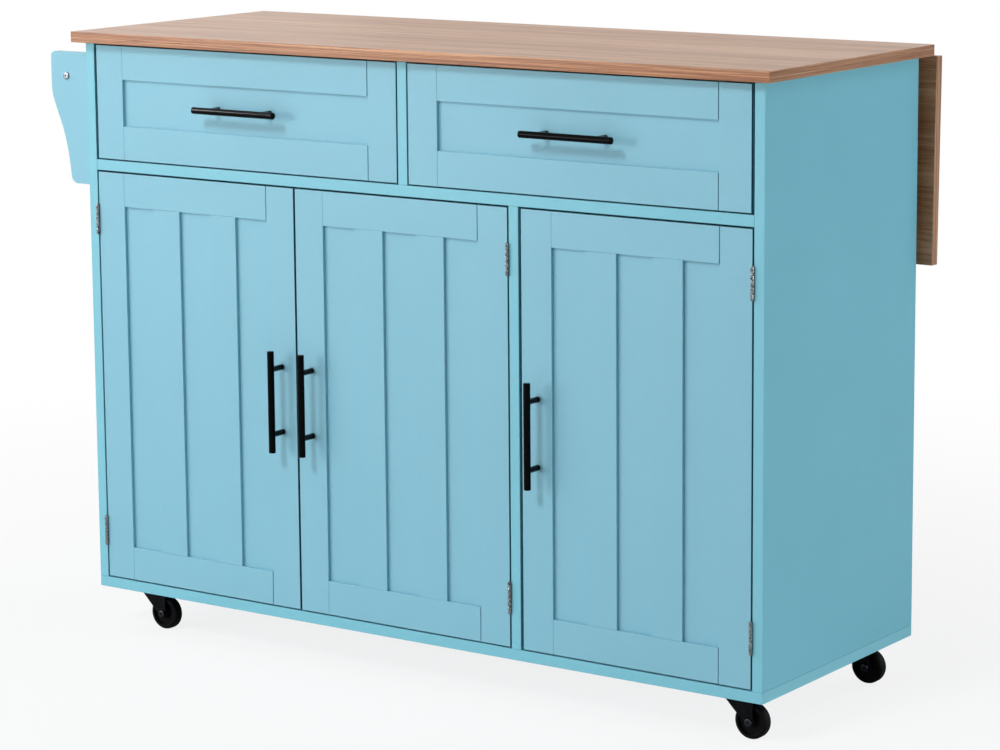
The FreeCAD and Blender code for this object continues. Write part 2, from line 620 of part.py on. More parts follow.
def flap_hinge_forms(screw):
    """Flap hinge of the leaf with its pin upright: the form's right is downwards once it lies along X."""
    fixed_screws = screw_pair("flap_fixed_screws", screw, "flap_plate - leaf_pivot_drop",
                              "-leaf_pivot_setback - flap_fixed_screw", "flap_screw_spacing", HEAD_RIGHT)
    moving_screws = screw_pair("flap_moving_screws", screw, "flap_moving_screw",
                               "leaf_pivot_drop - flap_plate", "flap_screw_spacing", HEAD_FRONT)
    fixed_plate = (("-leaf_pivot_drop", "flap_plate - leaf_pivot_drop"),
                   ("-leaf_pivot_setback - flap_fixed_depth", "-leaf_pivot_setback"))
    fixed_tab = (("flap_plate - flap_tab - leaf_pivot_drop", "flap_plate - leaf_pivot_drop"),
                 ("-leaf_pivot_setback", "0"))
    moving_plate = (("flap_relief", "flap_moving_depth"), ("leaf_pivot_drop - flap_plate", "leaf_pivot_drop"))
    moving_tab = (("0", "flap_relief"),
                  ("leaf_pivot_drop - flap_plate", "leaf_pivot_drop - flap_plate + flap_tab"))
    fixed = hinge_leaf("flap_fixed", (0, 2, 4), "flap_segment", "flap_knuckle_diameter", "flap_bore",
                       fixed_plate, fixed_tab, fixed_screws)
    moving = hinge_leaf("flap_moving", (1, 3), "flap_segment", "flap_knuckle_diameter", "flap_bore",
                        moving_plate, moving_tab, moving_screws)
    pin = headed_pin("flap_hinge_pin", "flap_pin_diameter", "(flap_width - hinge_knuckle_play)",
                     "flap_pin_head", "pin_head_height")
    return {"fixed": fixed, "moving": moving, "pin": pin, "fixed_screws": fixed_screws,
            "moving_screws": moving_screws}


def stay_forms(screw):
    """Folding stay with its pivot at the form's origin: bracket, pin, strut hanging down and screws."""
    wall = "-stay_standoff"
    ear_outer = "(ear_inner + stay_ear)"
    plate = form_box("stay_plate", ("-stay_plate_width / 2", "stay_plate_width / 2"),
                     (wall, "stay_ear - stay_standoff"), ("-stay_plate_height / 2", "stay_plate_height / 2"))
    pieces = [plate]
    for word, low in (("right", "ear_inner"), ("left", "-" + ear_outer)):
        span = (low, low + " + stay_ear")
        pieces.append(form_box("stay_ear_" + word, span, ("stay_ear - stay_standoff", "0"),
                               ("-ear_round", "ear_round")))
        pieces.append(form_rod("stay_ear_end_" + word, "ear_round", "stay_ear", x=low, rotation=ALONG_X))
    pin = headed_pin("stay_pin_upright", "stay_pin_diameter", "(2 * %s)" % ear_outer, "stay_pin_head",
                     "stay_pin_head_height")
    lying_pin = form_copy(pin, "stay_pin", rotation=ALONG_X)
    screws = screw_pair("stay_screws", screw, "0", "stay_ear - stay_standoff", "stay_screw_spacing", HEAD_BACK)
    bracket = cut("stay_bracket", fused("stay_bracket_solid", pieces), gathered("stay_holes", [lying_pin, screws]))
    blade = form_box("strut_blade", ("-stay_width / 2", "stay_width / 2"), ("-stay_depth / 2", "stay_depth / 2"),
                     ("-stay_length", "0"))
    ends = [form_rod("strut_end_" + word, "stay_depth / 2", "stay_width", x="-stay_width / 2", z=z,
                     rotation=ALONG_X) for word, z in (("top", "0"), ("tip", "-stay_length"))]
    bore = form_rod("strut_bore", "stay_pin_diameter / 2 + stay_pin_play", "stay_width + 2 * overrun",
                    x="-stay_width / 2 - overrun", rotation=ALONG_X)
    strut = cut("strut", fused("strut_solid", [blade] + ends), bore)
    return {"bracket": bracket, "pin": lying_pin, "strut": strut, "screws": screws}


def channel_form(screw):
    """Channel under the leaf in the leaf's frame, open towards the case, with its screws."""
    span_z = ("-channel_start - channel_length", "-channel_start")
    web = "leaf_pivot_drop - channel_sheet"
    outer = form_box("channel_outer", ("-channel_width / 2", "channel_width / 2"),
                     ("leaf_pivot_drop - channel_depth", "leaf_pivot_drop"), span_z)
    inner = form_box("channel_inner", ("channel_sheet - channel_width / 2", "channel_width / 2 - channel_sheet"),
                     ("leaf_pivot_drop - channel_depth - overrun", web),
                     ("-channel_start - channel_length - overrun", "overrun - channel_start"))
    near = form_copy(screw, "channel_screw_near", y=web, z="-channel_start - channel_screw_inset",
                     rotation=HEAD_FRONT)
    far = form_copy(screw, "channel_screw_far", y=web, z="channel_screw_inset - channel_start - channel_length",
                    rotation=HEAD_FRONT)
    screws = gathered("channel_screws", [near, far])
    return cut("channel", cut("channel_sheet_metal", outer, inner), screws), screws


def caster_forms(screw):
    """Caster on its swivel axis with the floor as the form's ground: plate, fork, bolt and wheel."""
    plate = form_box("caster_plate_sheet", ("-caster_plate_width / 2", "caster_plate_width / 2"),
                     ("-caster_plate_width / 2", "caster_plate_width / 2"),
                     ("caster_height - caster_plate", "caster_height"))
    raceway = form_rod("raceway", "raceway_diameter / 2", "fork_top_drop - caster_plate - swivel_play",
                       z="fork_top + swivel_play")
    web_bottom = "fork_top - fork_cheek"
    rivet = form_rod("kingpin", "kingpin_diameter / 2", "fork_cheek + 2 * swivel_play",
                     z=web_bottom + " - swivel_play")
    head = form_rod("kingpin_base", "kingpin_head / 2", "kingpin_head_height",
                    z=web_bottom + " - swivel_play - kingpin_head_height")
    screws = []
    for index, (x, y) in enumerate((("-", "-"), ("", "-"), ("", ""), ("-", ""))):
        screws.append(form_copy(screw, "caster_screw_%d" % index, x + "caster_screw_spacing / 2",
                                y + "caster_screw_spacing / 2", "caster_height - caster_plate", TURNED_OVER))
    screws = gathered("caster_screws", screws)
    mount = cut("caster_mount", fused("caster_mount_solid", [plate, raceway, rivet, head]), screws)

    body = doc.addObject("PartDesign::Body", "fork_block")
    corners = [("-fork_front", "fork_top"), ("fork_back", "fork_top"), ("fork_back", "wheel_radius"),
               ("tangent_x", "tangent_z")]
    sketch = outline_sketch(body, "fork_outline", "XZ_Plane", corners)
    pad(body, sketch, "fork_pad", "fork_gap + 2 * fork_cheek", both_ways=True)
    hub = form_rod("fork_hub_disc", "fork_hub", "fork_gap + 2 * fork_cheek", "caster_trail",
                   "-fork_gap / 2 - fork_cheek", "wheel_radius", ALONG_Y)
    gap = form_box("fork_room", ("-fork_front - overrun", "fork_back + overrun"),
                   ("-fork_gap / 2", "fork_gap / 2"), ("0", web_bottom))
    bore = form_rod("fork_bore", "kingpin_diameter / 2 + kingpin_play", "fork_cheek + 2 * overrun",
                    z=web_bottom + " - overrun")
    bolt_shank = form_rod("axle_shank", "axle_diameter / 2", "fork_gap + 2 * fork_cheek", "caster_trail",
                          "-fork_gap / 2 - fork_cheek", "wheel_radius", ALONG_Y)
    fork = cut("fork", fused("fork_solid", [body, hub]), gathered("fork_cuts", [gap, bore, bolt_shank]))

    bolt_head = form_rod("axle_head", "axle_head_diameter / 2", "axle_head_height", "caster_trail",
                         "-fork_gap / 2 - fork_cheek - axle_head_height", "wheel_radius", ALONG_Y)
    nut = doc.addObject("Part::Prism", "axle_nut")
    nut.Polygon = 6
    bind(nut, Circumradius="axle_head_diameter / 2", Height="axle_head_height")
    put(nut, "caster_trail", "fork_gap / 2 + fork_cheek", "wheel_radius", ALONG_Y)
    bolt = fused("axle_bolt", [bolt_shank, bolt_head, nut])
    return {"mount": mount, "screws": screws, "fork": fork, "bolt": bolt, "wheel": wheel_form()}


def wheel_form():
    """Wheel turned about the form's Y axis, with a deep rim and a wide hub."""
    body = doc.addObject("PartDesign::Body", "wheel")
    half = [("wheel_bore", "hub_half"), ("hub_radius", "hub_half"), ("hub_radius", "web_half"),
            ("rim_inner", "web_half"), ("rim_inner", "tread_half"), ("wheel_radius", "tread_half")]
    corners = half + [(u, "-" + v) for u, v in reversed(half)]
    turned = revolve(body, outline_sketch(body, "wheel_outline", "XY_Plane", corners), "wheel_turned")
    doc.recompute()
    treads = ["Edge%d" % number for number, edge in enumerate(turned.Shape.Edges, start=1)
              if edge.Curve.TypeId == "Part::GeomCircle"
              and abs(edge.Curve.Radius - size("wheel_radius")) < size("axle_play")]
    round_edges(body, turned, "wheel_tread_round", "tread_round", treads)
    return body


def case_boards():
    depth = ("0", "carcass_depth")
    inner_depth = ("0", "inner_back")
    inner = ("-inner_half", "inner_half")
    node("base_board", [slab("base_slab", ("-half_width", "half_width"), depth, ("caster_height", "base_top"))])
    for word, side in (("left", -1), ("right", 1)):
        span = mirrored(("inner_half", "half_width"), side)
        node("side_panel_" + word, [slab("side_slab_" + word, span, depth, ("base_top", "worktop_bottom"))])
    node("centre_partition", [slab("partition_slab", ("partition_left", "partition_right"), inner_depth,
                                   ("base_top", "shelf_board_bottom"))])
    node("drawer_shelf", [slab("drawer_shelf_slab", inner, inner_depth,
                               ("shelf_board_bottom", "shelf_board_top"))])
    node("drawer_divider", [slab("divider_slab", ("-divider_half", "divider_half"), inner_depth,
                                 ("shelf_board_top", "worktop_bottom"))])
    node("back_panel", [slab("back_slab", inner, ("inner_back", "carcass_depth"),
                             ("base_top", "worktop_bottom"))])


def worktop():
    body = doc.addObject("PartDesign::Body", "worktop_body")
    corners = [("-worktop_half", "-worktop_front_overhang"), ("worktop_half", "-worktop_front_overhang"),
               ("worktop_half", "worktop_back"), ("-worktop_half", "worktop_back")]
    board = pad(body, outline_sketch(body, "worktop_outline", "XY_Plane", corners), "worktop_pad",
                "worktop_thickness")
    round_edges(body, board, "worktop_round", "edge_round")
    node("worktop", [place(body, z="worktop_bottom")])


def adjustable_shelves():
    """Two loose shelves, each on four pegs in the sides of its cupboard."""
    pins = []
    cupboards = (("left", "-inner_half", "partition_left"), ("right", "partition_right", "inner_half"))
    for word, low, high in cupboards:
        span = (low + " + shelf_side_gap", high + " - shelf_side_gap")
        node("shelf_" + word, [slab("shelf_slab_" + word, span, ("shelf_setback", "inner_back"),
                                    ("adjustable_bottom", "adjustable_bottom + shelf_thickness"))])
        starts = (low + " - shelf_pin_depth", high + " - shelf_pin_reach")
        rows = ("shelf_setback + shelf_pin_inset", "inner_back - shelf_pin_inset")
        for number, (start, row) in enumerate((start, row) for start in starts for row in rows):
            pin = raw_rod("shelf_pin_%s_%d" % (word, number), "shelf_pin_diameter / 2",
                          "shelf_pin_reach + shelf_pin_depth")
            pins.append(place(pin, start, row, "adjustable_bottom - shelf_pin_diameter / 2", ALONG_X))
    node("shelf_pins", pins)


def strips(name, x, z, battens):
    """Stiles, rails and upright battens on a front; the rails stop short of the right stile."""
    depth = ("0", "face_strip")
    inner = (x[0] + " + stile_width", x[1] + " - stile_width")
    pieces = [slab(name + "_stile_left", (x[0], inner[0]), depth, z),
              slab(name + "_stile_right", (inner[1], x[1]), depth, z),
              slab(name + "_rail_top", (inner[0], inner[1] + " - joint_gap"), depth, (z[1] + " - rail_width", z[1])),
              slab(name + "_rail_bottom", (inner[0], inner[1] + " - joint_gap"), depth,
                   (z[0], z[0] + " + rail_width"))]
    recess = "((%s) - (%s) - %d * batten_width) / %d" % (inner[1], inner[0], battens, battens + 1)
    for number in range(battens):
        low = "%s + %d * %s + %d * batten_width" % (inner[0], number + 1, recess, number)
        pieces.append(slab("%s_batten_%d" % (name, number), (low, low + " + batten_width"), depth,
                           (z[0] + " + rail_width", z[1] + " - rail_width")))
    return pieces


def doors(hinges, handle, handle_screws):
    """Three doors: name, edges, free side and hinge axis; a positive side is the right one."""
    fixed_leaves = []
    pins = []
    screws = []
    catches = []
    for word, low, high, free_side in (("left", "left_door_low", "left_door_high", 1),
                                       ("middle", "middle_door_low", "middle_door_high", -1),
                                       ("right", "right_door_low", "right_door_high", -1)):
        name = "door_" + word
        z = ("door_low", "door_high")
        node(name + "_panel", [slab(name + "_board", (low, high), ("face_strip", "front_back"), z)])
        node(name + "_face_strips", strips(name, (low, high), z, 2))
        handle_x = high + " - handle_edge_inset" if free_side > 0 else low + " + handle_edge_inset"
        node(name + "_handle", [copy_of(handle, name + "_bar", handle_x, "-handle_standoff", "door_middle")])
        fixings = [copy_of(handle_screws, name + "_handle_screws", handle_x, "-handle_standoff", "door_middle")]
        rotation = UPRIGHT if free_side > 0 else TURNED_OVER
        moving_leaves = []
        for end in ("low", "high"):
            spot = (word + "_hinge_x", "-hinge_axis_front", "hinge_%s_middle" % end, rotation)
            tag = "%s_%s" % (name, end)
            moving_leaves.append(copy_of(hinges["door"], tag + "_leaf", *spot))
            fixings.append(copy_of(hinges["door_screws"], tag + "_leaf_screws", *spot))
            fixed_leaves.append(copy_of(hinges["frame"], tag + "_frame_leaf", *spot))
            screws.append(copy_of(hinges["frame_screws"], tag + "_frame_screws", *spot))
            pins.append(copy_of(hinges["pin"], tag + "_pin", *spot))
        node(name + "_hinge_leaves", moving_leaves)
        middle = high + " - catch_inset" if free_side > 0 else low + " + catch_inset"
        fixings.append(slab(name + "_strike", (middle + " - strike_width / 2", middle + " + strike_width / 2"),
                            ("front_back", "front_back + strike_thickness"),
                            ("door_high - strike_drop - strike_height", "door_high - strike_drop")))
        node(name + "_fixings", fixings)
        catch_front = "front_back + strike_thickness + catch_gap"
        catches.append(slab(name + "_catch", (middle + " - catch_width / 2", middle + " + catch_width / 2"),
                            (catch_front, catch_front + " + catch_depth"),
                            ("shelf_board_bottom - catch_height", "shelf_board_bottom")))
    node("door_hinge_frame_leaves", fixed_leaves)
    node("door_catches", catches)
    return pins, screws


def drawers(handle, handle_screws, slide_screw):
    """Two drawers and the slides that they run on."""
    rail = cut("slide_rail", form_box("slide_rail_outer", ("0", "slide_rail_depth"), ("0", "slide_rail_length"),
                                      ("-slide_height / 2", "slide_height / 2")),
               form_box("slide_rail_room", ("slide_sheet", "slide_rail_depth + overrun"),
                        ("-overrun", "slide_rail_length + overrun"),
                        ("slide_sheet - slide_height / 2", "slide_height / 2 - slide_sheet")))
    near_screw = form_copy(slide_screw, "slide_screw_near", "slide_sheet", "slide_screw_inset", "0", HEAD_RIGHT)
    far_screw = form_copy(slide_screw, "slide_screw_far", "slide_sheet", "slide_rail_length - slide_screw_inset",
                          "0", HEAD_RIGHT)
    rail_screws = gathered("slide_rail_screws", [near_screw, far_screw])
    drilled_rail = cut("slide_rail_drilled", rail, rail_screws)
    runner = cut("slide_runner", form_box("slide_runner_outer", ("slide_thickness - runner_reach", "slide_thickness"),
                                          ("0", "slide_runner_length"), ("-runner_half", "runner_half")),
                 form_box("slide_runner_room", ("-overrun", "slide_thickness - slide_sheet"),
                          ("-overrun", "slide_runner_length + overrun"),
                          ("slide_sheet - runner_half", "runner_half - slide_sheet")))
    rails = []
    screws = []
    for word, side in (("left", -1), ("right", 1)):
        name = "drawer_" + word
        z = ("drawer_low", "drawer_high")
        span = mirrored(("drawer_near", "drawer_far"), side)
        node(name + "_front_panel", [slab(name + "_front", span, ("face_strip", "front_back"), z)])
        node(name + "_face_strips", strips(name, span, z, 0))
        sign = "-" if side < 0 else ""
        spot = (sign + "drawer_centre", "face_strip - handle_standoff", "drawer_middle", ALONG_X)
        node(name + "_handle", [copy_of(handle, name + "_bar", *spot),
                                copy_of(handle_screws, name + "_handle_screws", *spot)])
        node(name + "_box", drawer_box(name, side))
        runners = []
        walls = (("near", sign + "divider_half", side), ("far", sign + "inner_half", -side))
        for wall, x, facing in walls:
            rotation = UPRIGHT if facing > 0 else TURNED_OVER
            spot = (x, "slide_setback", "slide_middle", rotation)
            tag = "%s_%s" % (name, wall)
            rails.append(copy_of(drilled_rail, tag + "_rail", *spot))
            screws.append(copy_of(rail_screws, tag + "_rail_screws", *spot))
            runners.append(copy_of(runner, tag + "_runner", *spot))
        node(name + "_runners", runners)
    node("drawer_slide_rails", rails)
    return screws


def drawer_box(name, side):
    """Two sides, a back between them and a bottom let in above their lower edges."""
    z = ("box_low", "box_high")
    inner = mirrored(("box_near + drawer_side", "box_far - drawer_side"), side)
    near = mirrored(("box_near", "box_near + drawer_side"), side)
    far = mirrored(("box_far - drawer_side", "box_far"), side)
    return [slab(name + "_side_near", near, ("front_back", "box_back"), z),
            slab(name + "_side_far", far, ("front_back", "box_back"), z),
            slab(name + "_back", inner, ("box_back - drawer_side", "box_back"), z),
            slab(name + "_bottom", inner, ("front_back", "box_back - drawer_side"),
                 ("box_bottom", "box_bottom + drawer_bottom"))]


def towel_bracket(name, y):
    """Bracket with a straight upper edge that curves in towards a narrow foot."""
    reach = size("towel_reach")
    height = size("towel_height")
    toe = size("towel_toe")
    corner = size("towel_corner")
    foot = size("towel_foot_round")
    slant = math.sqrt(0.5)

    def spot(out, down):
        return FreeCAD.Vector(-out, 0, -down)

    top_arc = Part.Arc(spot(reach - corner, 0), spot(reach - corner + corner * slant, corner - corner * slant),
                       spot(reach, corner))
    curve = Part.BezierCurve()
    curve.setPoles([spot(reach, size("towel_shoulder")), spot(reach, size("towel_curve_upper")),
                    spot(toe + size("towel_flare"), size("towel_curve_lower")), spot(toe, height - foot)])
    foot_arc = Part.Arc(spot(toe, height - foot), spot(toe - foot + foot * slant, height - foot + foot * slant),
                        spot(toe - foot, height))
    edges = [Part.LineSegment(spot(0, 0), spot(reach - corner, 0)).toShape(), top_arc.toShape(),
             Part.LineSegment(spot(reach, corner), spot(reach, size("towel_shoulder"))).toShape(),
             curve.toShape(), foot_arc.toShape(),
             Part.LineSegment(spot(toe - foot, height), spot(0, height)).toShape(),
             Part.LineSegment(spot(0, height), spot(0, 0)).toShape()]
    item = doc.addObject("Part::Feature", name)
    face = Part.Face(Part.Wire(edges))
    item.Shape = face.extrude(FreeCAD.Vector(0, size("towel_thickness"), 0))
    return place(item, "-half_width", y, "towel_top")


def towel_rack():
    node("towel_brackets", [towel_bracket("towel_bracket_front", "towel_setback"),
                            towel_bracket("towel_bracket_back", "towel_back_front")])
    bar = raw_rod("towel_rod", "towel_bar_diameter / 2", "towel_bar_length")
    node("towel_bar", [place(bar, "towel_bar_x", "towel_setback + towel_thickness", "towel_bar_z", ALONG_Y)])
    end_screw = pan_screw("towel_end_screw", "towel_screw_diameter", "towel_screw_length", "towel_screw_head",
                          "towel_screw_head_height")
    wall_screw = pan_screw("towel_wall_screw", "wood_screw_diameter", "panel_screw_length", "wood_screw_head",
                           "wood_screw_head_height")
    screws = [copy_of(end_screw, "towel_end_screw_front", "towel_bar_x", "towel_setback", "towel_bar_z", HEAD_FRONT),
              copy_of(end_screw, "towel_end_screw_back", "towel_bar_x", "carcass_depth - towel_setback",
                      "towel_bar_z", HEAD_BACK)]
    upper = "towel_top - towel_fixing_drop"
    for row, y in (("front", "towel_fixing_y"), ("back", "carcass_depth - towel_fixing_y")):
        for height, z in (("upper", upper), ("lower", upper + " - towel_fixing_spacing")):
            screws.append(copy_of(wall_screw, "towel_wall_screw_%s_%s" % (row, height), "-inner_half", y, z,
                                  HEAD_RIGHT))
    return screws


def hang(item):
    """Put a piece given in the leaf's frame on the hinge line, leaning inwards."""
    place(item, "0", "pivot_y", "pivot_z", FreeCAD.Rotation(-X_AXIS, size("leaf_lean")))
    item.setExpression("Placement.Rotation.Angle", bound("leaf_lean"))


def drop_leaf(flaps, channel, channel_screws):
    """Leaf that hangs behind the worktop, with what is screwed to it."""
    body = doc.addObject("PartDesign::Body", "leaf_body")
    corners = [("leaf_pivot_drop", "leaf_low"), ("leaf_outer", "leaf_low"), ("leaf_outer", "leaf_high"),
               ("leaf_pivot_drop", "leaf_high")]
    board = pad(body, outline_sketch(body, "leaf_outline", "YZ_Plane", corners), "leaf_pad", "2 * worktop_half",
                both_ways=True)
    round_edges(body, board, "leaf_round", "edge_round")
    node("drop_leaf", [body])
    hang(body)
    spots = flap_spots()
    moving = [form_copy(flaps["moving"], "flap_moving_" + word, x, rotation=ALONG_X) for word, x in spots]
    screws = [form_copy(flaps["moving_screws"], "flap_moving_screws_" + word, x, rotation=ALONG_X)
              for word, x in spots]
    channels = []
    for word, x in (("left", "-stay_x"), ("right", "stay_x")):
        channels.append(form_copy(channel, "channel_" + word, x))
        screws.append(form_copy(channel_screws, "channel_screws_" + word, x))
    hang(node("leaf_hinge_flaps", moving))
    hang(node("leaf_screws", screws))
    hang(node("stay_rails", channels))


def flap_spots():
    return (("left", "-flap_outer_x"), ("middle", "0"), ("right", "flap_outer_x"))


def leaf_supports(flaps, stays):
    """Fixed plates of the flap hinges, the stays and their brackets."""
    plates = []
    pins = []
    screws = []
    for word, x in flap_spots():
        spot = (x, "pivot_y", "pivot_z", ALONG_X)
        plates.append(copy_of(flaps["fixed"], "flap_fixed_" + word, *spot))
        pins.append(copy_of(flaps["pin"], "flap_pin_" + word, *spot))
        screws.append(copy_of(flaps["fixed_screws"], "flap_fixed_screws_" + word, *spot))
    node("leaf_hinge_plates", plates)
    brackets = []
    for word, x in (("left", "-stay_x"), ("right", "stay_x")):
        spot = (x, "stay_y", "stay_z")
        brackets.append(copy_of(stays["bracket"], "stay_bracket_" + word, *spot))
        brackets.append(copy_of(stays["pin"], "stay_pin_" + word, *spot, rotation=ALONG_X))
        screws.append(copy_of(stays["screws"], "stay_screws_" + word, *spot))
        node("stay_strut_" + word, [copy_of(stays["strut"], "strut_" + word, *spot)])
    node("stay_brackets", brackets)
    return pins, screws


def casters(forms):
    """Four casters that trail to the right, as they stand in the photograph."""
    plates = []
    screws = []
    for row, y in (("front", "caster_end_inset"), ("rear", "caster_back_y")):
        for word, x in (("left", "-caster_x"), ("right", "caster_x")):
            name = "caster_%s_%s" % (row, word)
            plates.append(copy_of(forms["mount"], name + "_plate", x, y, "0"))
            screws.append(copy_of(forms["screws"], name + "_screws", x, y, "0"))
            node(name + "_fork", [copy_of(forms["fork"], name + "_cheeks", x, y, "0"),
                                  copy_of(forms["bolt"], name + "_bolt", x, y, "0")])
            node(name + "_wheel", [copy_of(forms["wheel"], name + "_roll", x + " + caster_trail", y,
                                           "wheel_radius")])
    node("caster_plates", plates)
    return screws


def build():
    plate_screw = pan_screw("plate_screw", "wood_screw_diameter", "plate_screw_length", "wood_screw_head",
                            "wood_screw_head_height")
    slide_screw = pan_screw("slide_screw", "wood_screw_diameter", "slide_screw_length", "slide_screw_head",
                            "slide_screw_head_height")
    handle = handle_form()
    hinges = door_hinge_forms()
    flaps = flap_hinge_forms(plate_screw)
    stays = stay_forms(plate_screw)
    channel, channel_screws = channel_form(countersunk_screw("channel_screw"))
    case_boards()
    worktop()
    adjustable_shelves()
    pins, screws = doors(hinges, handle, handle_screws_form("door_handle_screws", "front_back"))
    screws += drawers(handle, handle_screws_form("drawer_handle_screws", "front_panel"), slide_screw)
    screws += towel_rack()
    drop_leaf(flaps, channel, channel_screws)
    flap_pins, flap_screws = leaf_supports(flaps, stays)
    screws += flap_screws
    screws += casters(caster_forms(plate_screw))
    node("hinge_pins", pins + flap_pins)
    node("carcass_screws", screws)
    doc.recompute()


def check_and_write():
    """Stop if anything failed, then write one STEP file for each sub-part."""
    for item in doc.Objects:
        if "Invalid" in item.State or "Error" in item.State:
            raise RuntimeError("%s: %s" % (item.Name, item.State))
    os.makedirs("parts", exist_ok=True)
    for item in nodes:
        shape = Part.Compound(item.Shape.Solids)
        if shape.isNull() or not shape.isValid() or not shape.Solids:
            raise RuntimeError("bad shape: " + item.Label)
        shape.exportStep("parts/%s.step" % item.Label)


build()
check_and_write()
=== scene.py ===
"""Looks of the rolling sideboard: aqua case and fronts, woodgrain top and leaf, black handles and casters."""
import json
import math

import bpy
from mathutils import Matrix, Vector

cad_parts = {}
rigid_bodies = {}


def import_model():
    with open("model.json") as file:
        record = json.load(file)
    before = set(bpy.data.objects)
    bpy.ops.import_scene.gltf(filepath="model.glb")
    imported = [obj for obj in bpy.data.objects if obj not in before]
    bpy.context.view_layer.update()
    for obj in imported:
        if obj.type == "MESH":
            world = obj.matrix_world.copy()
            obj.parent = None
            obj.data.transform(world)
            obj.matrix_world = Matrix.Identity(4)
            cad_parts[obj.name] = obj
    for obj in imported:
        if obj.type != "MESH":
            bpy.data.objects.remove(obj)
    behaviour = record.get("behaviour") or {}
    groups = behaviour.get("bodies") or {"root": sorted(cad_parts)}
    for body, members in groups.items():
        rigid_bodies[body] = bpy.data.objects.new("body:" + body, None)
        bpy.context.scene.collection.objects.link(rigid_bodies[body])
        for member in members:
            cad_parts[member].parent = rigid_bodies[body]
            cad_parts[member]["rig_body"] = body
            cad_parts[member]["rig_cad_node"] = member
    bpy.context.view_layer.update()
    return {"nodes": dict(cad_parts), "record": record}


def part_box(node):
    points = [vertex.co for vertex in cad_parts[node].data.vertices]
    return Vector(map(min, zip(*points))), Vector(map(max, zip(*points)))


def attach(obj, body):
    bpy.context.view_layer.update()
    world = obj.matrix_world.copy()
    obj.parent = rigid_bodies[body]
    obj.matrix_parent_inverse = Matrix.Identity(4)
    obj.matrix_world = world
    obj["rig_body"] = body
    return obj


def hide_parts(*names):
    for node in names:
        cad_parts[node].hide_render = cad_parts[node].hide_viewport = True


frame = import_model()

MM = 0.001
FRONT, BACK = Vector((0, -1, 0)), Vector((0, 1, 0))
LEFT, RIGHT = Vector((-1, 0, 0)), Vector((1, 0, 0))
UP, DOWN = Vector((0, 0, 1)), Vector((0, 0, -1))

# How near two places must be to count as one
WELD = 0.005 * MM
SAME = 0.01 * MM
CLOSE = 0.05 * MM
NEAR = 0.1 * MM

# Rounding of edges
BOARD_ROUND = 0.7 * MM
STRIP_ROUND = 0.8 * MM
WORKTOP_ROUND = 0.8 * MM
RACK_ROUND = 0.8 * MM
HANDLE_ROUND = 1 * MM
SHEET_ROUND = 0.25 * MM
PLATE_ROUND = 0.3 * MM
FORK_ROUND = 0.35 * MM
WHEEL_ROUND = 0.4 * MM
NUT_ROUND = 0.4 * MM
CATCH_ROUND = 0.5 * MM

# Strips on the fronts
STILE = 50 * MM
RAIL = 50 * MM
BATTEN = 48 * MM
JOINT_GAP = 1 * MM

# Drawer boxes
BOX_SIDE = 12 * MM
BOX_BOTTOM = 5 * MM
BOX_BOTTOM_LIFT = 8 * MM

# Handles
HANDLE_RADIUS = 5 * MM
HANDLE_POST = 4.2 * MM
HANDLE_STANDOFF = 26 * MM
HANDLE_CENTRES = 96 * MM
HANDLE_SCREW_HEAD = (4 * MM, 2.4 * MM)
HANDLE_SCREW_SHANK = (2 * MM, 20 * MM)

# Screws
FLAT_HEAD_HEIGHT = 1 * MM
FLAT_HEAD_RIM = 0.2 * MM
ROUND_WITHIN = 0.02
PLATE_CORNERS = 24

# Door hinges and catches
KNUCKLE_RADIUS = 2.5 * MM
KNUCKLE_GROOVE = 1.1 * MM
CATCH_WALL = 2 * MM
CATCH_POCKET = 0.8 * MM

# Drop leaf
LEAF_PIVOT = Vector((0, 226.82 * MM, 894.5 * MM))
LEAF_LEAN = math.radians(1.34)
LEAF_OFF = 3.5 * MM
LEAF_RISE = 2.5 * MM
LEAF_LENGTH = 296 * MM
LEAF_THICKNESS = 16 * MM

# Casters
WHEEL_RADIUS = 25 * MM
TREAD_WIDTH = 17 * MM
TREAD_ROUND = 4.5 * MM
WHEEL_RIM = 6 * MM
WHEEL_WEB = 7 * MM
HUB_RADIUS = 8 * MM
HUB_WIDTH = 19.4 * MM
AXLE_BORE = 3.05 * MM
AXLE_RADIUS = 3 * MM
BOLT_RADIUS = 5.5 * MM
BOLT_HEAD = 3 * MM
FORK_HALF = 12 * MM
FORK_BEND = 2.2 * MM

# Studio
FILL_LIGHT = 0.12
FLOOR_SIZE = 80
SHADOW_REACH = 0.7
WHITE_REACH = 2.2
SHADOW_GLOW = 0.84
CASE_FRONT = (0, -0.2, 0.5)

# Camera as fitted to the photograph, its angles in radians
EYE = (2.7777, -3.8798, 1.3211)
LEFTWARD_TURN = 0.6034
DOWNWARD_TILT = 0.1658
ROLL = 0.0064
LENS = 118.6
SENSOR = 36
SHIFT = (-0.0329, -0.0726)
VIEW_END = 200

NODES = frame["nodes"]
BODY_OF = {node: body for body, members in frame["record"]["behaviour"]["bodies"].items() for node in members}


# Working by hand

def take(*pieces):
    """Select these pieces alone, the first of them active."""
    bpy.ops.object.select_all(action="DESELECT")
    for piece in pieces:
        piece.select_set(True)
    if pieces:
        bpy.context.view_layer.objects.active = pieces[0]


def settle(piece):
    """Move a piece's place, turn and scale into its mesh."""
    take(piece)
    bpy.ops.object.transform_apply(location=True, rotation=True, scale=True)
    return piece


def block(name, low, high, turn=0):
    """Box between two corners, turned about the X axis through its middle."""
    take()
    low, high = Vector(low), Vector(high)
    bpy.ops.mesh.primitive_cube_add(size=1, location=(low + high) / 2, rotation=(turn, 0, 0))
    piece = bpy.context.object
    piece.name = name
    piece.scale = high - low
    return settle(piece)


